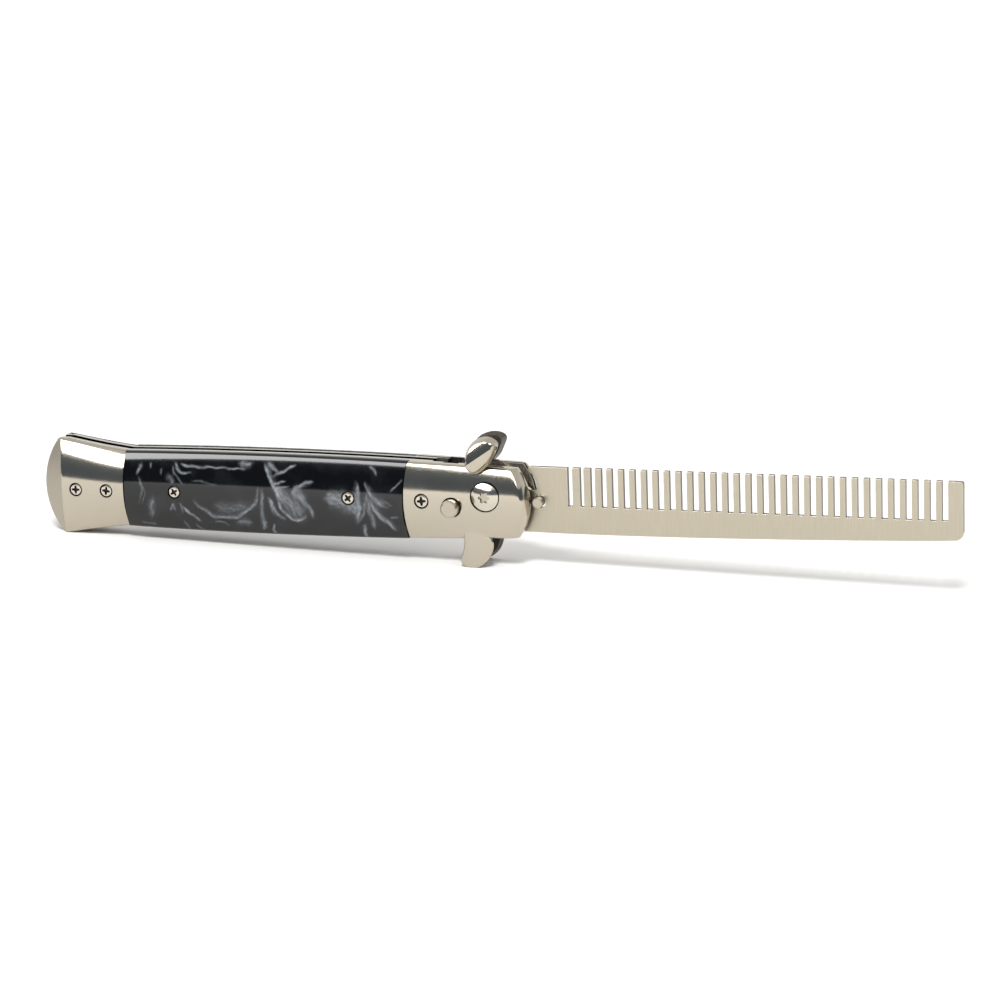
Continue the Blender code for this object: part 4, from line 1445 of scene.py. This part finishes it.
@dataclass
class CombBlade:
    """Blade stamped from sheet steel, with its row of teeth and painted shade on the edges between
    them.
    """

    finish: bpy.types.Material
    # Dark steel painted as shade on the edges among the teeth, round the pin's hole and in the notch
    sheared: bpy.types.Material
    sheared_turn: float = 0.9
    sharp: float = 12.0
    half: float = 0.65
    top: float = 6.5
    root: float = -2.8
    teeth: int = 32
    first_gap: float = 18.87
    first_tooth: float = 20.0
    end_block: float = 109.17
    tip: float = 112.7
    tooth: float = 1.4
    stout: float = 0.5
    back: float = -9.45
    rise: float = 2.05
    rise_from: float = 18.0
    rise_power: float = 1.8
    tip_corner: float = 2.0
    tip_top_corner: float = 0.6
    back_rows: int = 30
    shoulder: float = 9.0
    tang: float = 6.3
    tang_turn: tuple[float, float] = (-75.0, -325.0)
    notch: tuple[Point, ...] = ((9.6, 0.8), (10.8, 0.85), (11.2, 1.5), (11.15, 2.8),
                                (10.6, 4.2), (9.7, 4.9))
    edge: float = 0.05

    def back_z(self, x: float) -> float:
        """Height of the back, which rises towards the tip."""
        share = max(0.0, (x - self.rise_from) / (self.end_block - self.rise_from))
        return self.back + self.rise * share ** self.rise_power

    def outline(self) -> list[Point]:
        """Outline without the gaps between the teeth."""
        corner = self.tip_top_corner
        points = [(self.shoulder, self.top - 1.5)]
        points += arc((self.shoulder + corner, self.top - corner), corner, 180, 90, 6)
        points += arc((self.tip - corner, self.top - corner), corner, 90, 0, 6)
        low = self.back_z(self.tip) + self.tip_corner
        points += arc((self.tip - self.tip_corner, low), self.tip_corner, 0, -90, 12)
        for step in range(1, self.back_rows + 1):
            share = step / self.back_rows
            x = (self.tip - self.tip_corner) * (1 - share) + self.rise_from * share
            points.append((x, self.back_z(x)))
        points.append((self.shoulder - 0.5, self.back + 0.1))
        points += arc(PIVOT_AT, self.tang, *self.tang_turn, 60)
        points += [tuple(point) for point in smooth_path(self.notch, 4)]
        return points

    def gap_tree(self) -> tuple[bpy.types.NodeTree, dict[str, str]]:
        """Node tree that cuts the gaps between the teeth.

        Returns:
            The tree, and the identifier of each named input.
        """
        measures = ("Pitch", "First Edge", "Gap Width", "Stout Extra", "First Gap Width", "Root",
                    "Top")
        tree, names = named_tree("comb_gaps", {"Blade": "Geometry", "Gaps": "Int",
                                               **dict.fromkeys(measures, "Float"),
                                               "Finish": "Material"})
        given = add_node(tree, "NodeGroupInput").outputs
        index = add_node(tree, "GeometryNodeInputIndex").outputs[0]
        sockets = {"index": index, **{name: given[name] for name in measures}}
        # The first three teeth are stouter, by less and less, and the first gap has its own width
        steps = (("past", "SUBTRACT", "index", 1.0), ("third", "DIVIDE", "past", 3.0),
                 ("fade", "SUBTRACT", 1.0, "third"), ("extra", "MULTIPLY", "fade", "Stout Extra"),
                 ("later", "SUBTRACT", "Gap Width", "extra"), ("first", "LESS_THAN", "index", 0.5),
                 ("gain", "SUBTRACT", "First Gap Width", "later"),
                 ("width", "MULTIPLY_ADD", "first", "gain", "later"),
                 ("half", "MULTIPLY", "width", 0.5),
                 ("edge", "MULTIPLY_ADD", "index", "Pitch", "First Edge"),
                 ("middle", "SUBTRACT", "edge", "half"), ("deep", "SUBTRACT", "Top", "Root"),
                 ("tall", "MULTIPLY", "deep", 2.0))
        for name, operation, *values in steps:
            made = add_node(tree, "ShaderNodeMath",
                            {"operation": operation, "use_clamp": name == "fade"},
                            {i: sockets.get(value, value) for i, value in enumerate(values)})
            sockets[name] = made.outputs[0]
        row = add_node(tree, "GeometryNodeMeshLine", None, {"Count": given["Gaps"]})
        place = add_node(tree, "ShaderNodeCombineXYZ", None, {
            "X": sockets["middle"], "Z": given["Top"]})
        points = add_node(tree, "GeometryNodeSetPosition", None, {
            "Geometry": row.outputs[0], "Position": place.outputs[0]})
        size = add_node(tree, "ShaderNodeCombineXYZ", None, {
            "X": sockets["width"], "Y": 6.0, "Z": sockets["tall"]})
        cutter = add_node(tree, "GeometryNodeMeshCube", None, {"Size": (1.0, 1.0, 1.0)})
        cutters = add_node(tree, "GeometryNodeInstanceOnPoints", None, {
            "Points": points.outputs[0], "Instance": cutter.outputs[0], "Scale": size.outputs[0]})
        real = add_node(tree, "GeometryNodeRealizeInstances", None, {0: cutters.outputs[0]})
        solver = {"operation": "DIFFERENCE", "solver": "EXACT"}
        cut = add_node(tree, "GeometryNodeMeshBoolean", solver, {
            "Mesh 1": given["Blade"], "Mesh 2": real.outputs[0]})
        whole = add_node(tree, "GeometryNodeRealizeInstances", None, {0: cut.outputs[0]})
        dressed = add_node(tree, "GeometryNodeSetMaterial", None, {
            "Geometry": whole.outputs[0], "Material": given["Finish"]})
        add_node(tree, "NodeGroupOutput", None, {0: dressed.outputs[0]})
        return tree, names

    def build(self) -> bpy.types.Object:
        """Build the blade."""
        holes = []
        for radius, at in ((PIVOT_BARREL + GAP, PIVOT_AT), (PIN_RADIUS + GAP, PIN_AT)):
            profile = ((0.0, -2.0), (radius, -2.0), (radius, 2.0), (0.0, 2.0))
            holes.append(Tool(turned(profile, at, Side.REAR)))
        blank = combined(plate(self.outline(), -self.half, self.half), holes, self.finish)
        pitch = (self.end_block - self.first_tooth) / self.teeth
        cut = grown(blank, *self.gap_tree(), {
            "Gaps": self.teeth + 1, "Pitch": pitch, "First Edge": self.first_tooth,
            "Gap Width": pitch - self.tooth, "Stout Extra": self.stout,
            "First Gap Width": self.first_tooth - self.first_gap, "Root": self.root,
            "Top": self.top, "Finish": self.finish})
        mesh = bevelled(cut, self.edge, 2)
        self.leave_sheared(mesh)
        return hang(mesh, "comb_blade", Body.COMB, ["comb"], self.sharp)

    def leave_sheared(self, mesh: bpy.types.Mesh) -> None:
        """Paint dark grey shade on the edges from the pin's hole and the notch to the teeth."""
        mesh.materials.append(self.sheared)
        low = PIN_AT[1] - PIN_RADIUS - GAP - 0.1
        for polygon in mesh.polygons:
            shade_zone = polygon.center.x > self.shoulder - 0.2 and polygon.center.z > low
            if shade_zone and abs(polygon.normal.y) < self.sheared_turn:
                polygon.material_index = len(mesh.materials) - 1


def store_from_axis(mesh: bpy.types.Mesh, at: Point) -> None:
    """Store each point's distance from a line across the handle, for the turning marks."""
    stored = mesh.attributes.new("from_axis", "FLOAT", "POINT")
    for vertex in mesh.vertices:
        distance = math.hypot(vertex.co.x - at[0], vertex.co.z - at[1])
        stored.data[vertex.index].value = distance


@dataclass
class StopPin:
    """Pin through the comb's root that meets the nose of the handle."""

    finish: bpy.types.Material
    at: Point = PIN_AT
    radius: float = PIN_RADIUS
    half: float = 2.9
    edge: float = 0.15

    def build(self) -> bpy.types.Object:
        """Build the pin."""
        radius, half, edge = self.radius, self.half, self.edge
        profile = ((0.0, -half), (radius - edge, -half), (radius, edge - half),
                   (radius, half - edge), (radius - edge, half), (0.0, half))
        mesh = as_mesh(turned(profile, self.at, Side.REAR), "pin")
        mesh.materials.append(self.finish)
        store_from_axis(mesh, self.at)
        return hang(mesh, "stop_pin_turned", Body.COMB, ["stop_pin"])


@dataclass
class Pivot:
    """Domed pivot screw in front, and its nut with the same head at the rear."""

    finish: bpy.types.Material
    inside: bpy.types.Material
    bottom: bpy.types.Material
    edge: float = 6.35
    top: float = 7.3
    bore: float = 1.3
    shank: float = 1.0
    dome_rows: int = 14
    lobe: float = 1.2
    lobe_swing: float = 0.22
    lobe_steps: int = 72
    recess: float = 0.6

    def dome(self) -> list[Point]:
        """Head from its underside to its crown, as rows of radius and depth."""
        rise = self.top - self.edge
        sphere = (PIVOT_HEAD ** 2 + rise ** 2) / (2 * rise)
        rows = [(PIVOT_HEAD, PIVOT_SEAT + GAP)]
        for step in range(self.dome_rows):
            radius = PIVOT_HEAD * (1 - step / self.dome_rows)
            rows.append((radius, self.top - sphere + math.sqrt(sphere ** 2 - radius ** 2)))
        return rows + [(0.0, self.top)]

    def star(self, side: Side) -> Tool:
        """Tool of the six-lobed recess."""
        points = []
        for step in range(self.lobe_steps):
            angle = math.tau * (step + 0.3) / self.lobe_steps
            radius = self.lobe + self.lobe_swing * math.cos(6 * angle)
            points.append((radius * math.cos(angle), radius * math.sin(angle)))
        low, high = sorted((side.value * (self.top - self.recess), side.value * 9.0))
        # The recess's walls take the dark inside finish, a painted shade; its floor keeps turned
        # steel
        return Tool(plate(points, low, high), self.inside)

    def build(self) -> list[bpy.types.Object]:
        """Build the screw and the nut."""
        pieces = []
        under = PIVOT_SEAT + GAP
        screw = [(0.0, -0.3), (self.shank, -0.3), (self.shank, under)] + self.dome()
        nut = [(0.0, 1.0), (self.bore, 1.0), (self.bore, -PIVOT_SEAT),
               (PIVOT_BARREL, -PIVOT_SEAT), (PIVOT_BARREL, under)] + self.dome()
        for side, profile, name, node in ((Side.FRONT, screw, "pivot_head", "pivot_screw"),
                                          (Side.REAR, nut, "pivot_nut_head", "pivot_nut")):
            mesh = combined(turned(profile, PIVOT_AT, side, 96), [self.star(side)], self.finish)
            mesh.materials.append(self.bottom)
            for polygon in mesh.polygons:
                if polygon.material_index == 1 and abs(polygon.normal.y) > 0.9:
                    polygon.material_index = 2
            store_from_axis(mesh, PIVOT_AT)
            pieces.append(hang(mesh, name, Body.HANDLE, [node]))
        return pieces


@dataclass
class PushButton:
    """Button that lets the comb go, with the flange that keeps it in."""

    finish: bpy.types.Material
    at: Point = BUTTON_AT
    radius: float = BUTTON_RADIUS
    flange: float = 2.9
    inner: float = 1.8
    flange_top: float = 2.4
    face: float = 8.7
    chamfer: float = 0.4

    def build(self) -> bpy.types.Object:
        """Build the button."""
        radius, chamfer = self.radius, self.chamfer
        profile = ((0.0, self.inner), (self.flange, self.inner), (self.flange, self.flange_top),
                   (radius, self.flange_top), (radius, self.face - chamfer),
                   (radius - chamfer, self.face), (0.0, self.face))
        mesh = as_mesh(turned(profile, self.at, Side.FRONT, 72), "button")
        mesh.materials.append(self.finish)
        store_from_axis(mesh, self.at)
        return hang(mesh, "button_turned", Body.BUTTON, ["button"])


@dataclass
class ScrewRow:
    """The five cross-head screws of one side."""

    side: Side
    finish: bpy.types.Material
    inside: bpy.types.Material
    model_head: float = 1.42
    end: float = 1.3
    rim: float = 0.15
    cross_reach: float = 1.02
    cross_half: float = 0.23
    cross_depth: float = 0.6
    cross_turn: float = 3.0

    def cross(self) -> Tool:
        """Tool of the cross recess, whose inner corners are cut back."""
        long, thin = self.cross_reach, self.cross_half
        points = []
        for quarter in range(4):
            angle = math.radians(90 * quarter + self.cross_turn)
            for across, up in ((long, -thin), (long, thin), (thin * 1.5, thin * 1.5)):
                points.append((across * math.cos(angle) - up * math.sin(angle),
                               across * math.sin(angle) + up * math.cos(angle)))
        # The cross recess takes the dark inside finish, a painted shade
        return Tool(plate(points, -self.cross_depth, 1.0), self.inside)

    def model(self) -> bpy.types.Object:
        """One screw, its head's top on its own origin and its axis along Z."""
        head = self.model_head
        profile = ((0.0, self.end - SCREW_TOP), (SCREW_SHANK, self.end - SCREW_TOP),
                   (SCREW_SHANK, -SCREW_HEAD_DEPTH), (head, -SCREW_HEAD_DEPTH),
                   (head, -self.rim), (0.93 * head, -0.3 * self.rim), (0.8 * head, 0.0),
                   (0.0, 0.0))
        axis = (0.0, 0.0)
        mesh = combined(turned(profile, axis, Side.REAR, 48), [self.cross()], self.finish)
        store_from_axis(mesh, axis)
        mesh.transform(Matrix.Rotation(math.radians(90), 4, "X"))
        return new_object(mesh, "screw_model")

    def row_tree(self) -> tuple[bpy.types.NodeTree, dict[str, str]]:
        """Node tree that sets a screw on each point, sized and turned by its attributes.

        Returns:
            The tree, and the identifier of each named input.
        """
        tree, names = named_tree("screw_row", {"Places": "Geometry", "Screw": "Object",
                                               "Finish": "Material", "Recess Finish": "Material"})
        given = add_node(tree, "NodeGroupInput").outputs
        model = add_node(tree, "GeometryNodeObjectInfo", None, {"Object": given["Screw"]})
        size = add_node(tree, "GeometryNodeInputNamedAttribute", {"data_type": "FLOAT"},
                        {"Name": "head_size"})
        turn = add_node(tree, "GeometryNodeInputNamedAttribute", {"data_type": "FLOAT_VECTOR"},
                        {"Name": "head_turn"})
        screws = add_node(tree, "GeometryNodeInstanceOnPoints", None, {
            "Points": given["Places"], "Instance": model.outputs["Geometry"],
            "Rotation": turn.outputs[0], "Scale": size.outputs[0]})
        real = add_node(tree, "GeometryNodeRealizeInstances", None, {0: screws.outputs[0]})
        # The recess keeps its dark painted shade; the rest of the head gets the screw's finish
        recess = add_node(tree, "GeometryNodeMaterialSelection", None, {
            "Material": given["Recess Finish"]})
        head = add_node(tree, "FunctionNodeBooleanMath", {"operation": "NOT"},
                        {0: recess.outputs[0]})
        dressed = add_node(tree, "GeometryNodeSetMaterial", None, {
            "Geometry": real.outputs[0], "Selection": head.outputs[0],
            "Material": given["Finish"]})
        add_node(tree, "NodeGroupOutput", None, {0: dressed.outputs[0]})
        return tree, names

    def build(self) -> bpy.types.Object:
        """Build the row of screws."""
        model = self.model()
        places = bpy.data.meshes.new("places")
        places.from_pydata([(s.x, self.side.value * SCREW_TOP, FORM.axis_z + s.above_axis)
                            for s in SCREWS], [], [])
        sizes = places.attributes.new("head_size", "FLOAT", "POINT")
        turns = places.attributes.new("head_turn", "FLOAT_VECTOR", "POINT")
        for i, screw in enumerate(SCREWS):
            sizes.data[i].value = screw.head / self.model_head
            turns.data[i].vector = (math.radians(-90 * self.side.value),
                                    math.radians(-screw.turn), 0.0)
        mesh = grown(places, *self.row_tree(), {
            "Screw": model, "Finish": self.finish, "Recess Finish": self.inside})
        bpy.data.objects.remove(model, do_unlink=True)
        nodes = [f"{screw.name}_{self.side.word}" for screw in SCREWS]
        return hang(mesh, "screws_" + self.side.word, Body.HANDLE, nodes)


# Studio


@dataclass(frozen=True)
class LampForm:
    """Softbox: its name, direction in degrees, size in metres and radiance."""

    name: str
    azimuth: float
    elevation: float
    size: tuple[float, float]
    radiance: float


@dataclass(frozen=True)
class Studio:
    """Pale floor, softboxes in front and above, and the room's own light."""

    floor_radius: float = 40.0
    floor_colour: str = "f2f1ef"
    # Strength of the painted glow far from the comb
    floor_glow: float = 0.4
    glow_from: float = 0.2
    glow_to: float = 1.2
    lamp_distance: float = 1.2
    strip: LampForm = LampForm("strip", -27.0, 33.0, (1.6, 0.36), 10.5)
    key: LampForm = LampForm("key", 12.0, 50.0, (0.28, 0.28), 52.0)
    overhead: float = 0.85
    behind: float = 1.0
    dark_front: tuple[float, float, float] = (0.125, 0.152, 0.185)
    front_edge: float = 24.0
    behind_edge: float = 45.0
    sharp_edge: float = 0.03
    soft_edge: float = 0.15

    def build_floor(self) -> None:
        """Round floor of matt paper with a painted glow that grows with the distance from the comb.
        """
        bm = bmesh.new()
        bmesh.ops.create_circle(bm, cap_ends=True, segments=96, radius=self.floor_radius)
        floor = new_object(as_mesh(bm, "floor"), "floor")
        paper = bpy.data.materials.new("matt_paper")
        paper.use_nodes = True
        tree = paper.node_tree
        tree.nodes.clear()
        matt = add_node(tree, "ShaderNodeBsdfDiffuse", None, {"Color": linear(self.floor_colour)})
        where = add_node(tree, "ShaderNodeTexCoord")
        away = add_node(tree, "ShaderNodeVectorMath", {"operation": "LENGTH"},
                        {0: where.outputs["Object"]})
        # Painted light: the paper glows more and more away from the comb, though no lamp lights it
        share = add_node(tree, "ShaderNodeMapRange", {"interpolation_type": "SMOOTHSTEP"}, {
            "Value": away.outputs["Value"], "From Min": self.glow_from,
            "From Max": self.glow_to, "To Max": self.floor_glow})
        glow = add_node(tree, "ShaderNodeEmission", None, {"Strength": share.outputs[0]})
        both = add_node(tree, "ShaderNodeAddShader", None, {0: matt.outputs[0],
                                                            1: glow.outputs[0]})
        add_node(tree, "ShaderNodeOutputMaterial", None, {"Surface": both.outputs[0]})
        floor.data.materials.append(paper)
        floor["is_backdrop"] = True

    def build_lamp(self, form: LampForm) -> bpy.types.Object:
        """Rectangular softbox that faces the comb."""
        side, high = math.radians(form.azimuth), math.radians(form.elevation)
        away = Vector((math.sin(side) * math.cos(high), -math.cos(side) * math.cos(high),
                       math.sin(high)))
        data = bpy.data.lights.new(form.name, "AREA")
        data.shape = "RECTANGLE"
        data.size, data.size_y = form.size
        data.energy = form.radiance * math.pi * form.size[0] * form.size[1]
        lamp = bpy.data.objects.new(form.name, data)
        lamp.location = Vector(STANCE.pivot) + away * self.lamp_distance
        lamp.rotation_euler = away.to_track_quat("Z", "Y").to_euler()
        lamp.visible_camera = False
        bpy.context.scene.collection.objects.link(lamp)
        return lamp

    def build_lamps(self) -> None:
        """A strip that only shows as highlights, and a key that only lights matt surfaces."""
        self.build_lamp(self.strip).visible_diffuse = False
        self.build_lamp(self.key).visible_glossy = False

    def build_room(self) -> None:
        """White wall behind, a grey ceiling, and a dark room low down behind the camera."""
        world = bpy.data.worlds.new("studio")
        world.use_nodes = True
        bpy.context.scene.world = world
        tree = world.node_tree
        tree.nodes.clear()
        where = add_node(tree, "ShaderNodeTexCoord")
        parts = add_node(tree, "ShaderNodeSeparateXYZ", None, {0: where.outputs["Generated"]})
        dark = (*self.dark_front, 1.0)
        ceiling = (*[self.overhead] * 3, 1.0)
        wall = (*[self.behind] * 3, 1.0)
        front_edge = math.sin(math.radians(self.front_edge))
        behind_edge = math.sin(math.radians(self.behind_edge))
        parts_of_room = (("front", "Z", front_edge, self.sharp_edge, dark, ceiling),
                         ("back", "Z", behind_edge, self.soft_edge, wall, ceiling),
                         ("sky", "Y", 0.0, self.soft_edge, "front", "back"))
        tones = {}
        for name, axis, middle, half, first, second in parts_of_room:
            share = add_node(tree, "ShaderNodeMapRange", {"interpolation_type": "SMOOTHSTEP"}, {
                "Value": parts.outputs[axis], "From Min": middle - half,
                "From Max": middle + half})
            mixed = add_node(tree, "ShaderNodeMix", {"data_type": "RGBA"}, {
                0: share.outputs[0], 6: tones.get(first, first), 7: tones.get(second, second)})
            tones[name] = mixed.outputs[2]
        glow = add_node(tree, "ShaderNodeBackground", None, {"Color": tones["sky"]})
        add_node(tree, "ShaderNodeOutputWorld", None, {"Surface": glow.outputs[0]})
        bpy.context.scene.view_settings.view_transform = "Standard"


@dataclass(frozen=True)
class Viewpoint:
    """Camera of the photograph: right of the comb and a little above it."""

    yaw: float = 18.2
    elevation: float = 13.6
    focal_pixels: float = 3200.0
    picture: float = 1000.0
    pivot_at: Point = (493.0, 491.4)
    scale: float = 0.0002379
    sensor: float = 36.0

    def build(self) -> None:
        """Make the camera and give it to the scene."""
        yaw, high = math.radians(self.yaw), math.radians(self.elevation)
        look = Vector((-math.sin(yaw) * math.cos(high), math.cos(yaw) * math.cos(high),
                       -math.sin(high)))
        right = Vector((math.cos(yaw), math.sin(yaw), 0.0))
        up = right.cross(look)
        across = (self.pivot_at[0] - self.picture / 2) / self.focal_pixels
        above = -(self.pivot_at[1] - self.picture / 2) / self.focal_pixels
        away = (look + across * right + above * up) * self.focal_pixels * self.scale
        data = bpy.data.cameras.new("camera")
        data.sensor_width = self.sensor
        data.lens = self.focal_pixels / self.picture * self.sensor
        data.clip_start = 0.01
        data.clip_end = 200.0
        camera = bpy.data.objects.new("camera", data)
        turn = Matrix((right, up, -look)).transposed().to_4x4()
        camera.matrix_world = Matrix.Translation(Vector(STANCE.pivot) - away) @ turn
        bpy.context.scene.collection.objects.link(camera)
        bpy.context.scene.camera = camera


def corners(box: tuple[Vector, Vector]) -> list[list[float]]:
    """Lowest and highest corner of a box as plain numbers."""
    return [list(corner) for corner in box]


def main() -> None:
    """Load the frame, then build and dress every piece in order."""
    logging.basicConfig(level=logging.INFO, format="%(message)s")
    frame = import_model()
    cad_box = corners(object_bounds())
    finishes = FinishSet.build()
    Viewpoint().build()
    studio = Studio()
    studio.build_floor()
    studio.build_lamps()
    studio.build_room()
    Liners(finishes.liner).dress(frame)
    for side in Side:
        Pommel(side, finishes.polished, finishes.recess).build()
        GripScale(side, finishes.acrylic, finishes.recess).build()
        Bolster(side, finishes.polished, finishes.recess, finishes.cast).build()
        ScrewRow(side, finishes.screw, finishes.recess).build()
    CombBlade(finishes.brushed, finishes.cast).build()
    StopPin(finishes.turned).build()
    Pivot(finishes.screw, finishes.recess, finishes.turned).build()
    PushButton(finishes.turned).build()
    {"cad": cad_box, "visual": corners(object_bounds())}


if __name__ == "__main__":
    main()
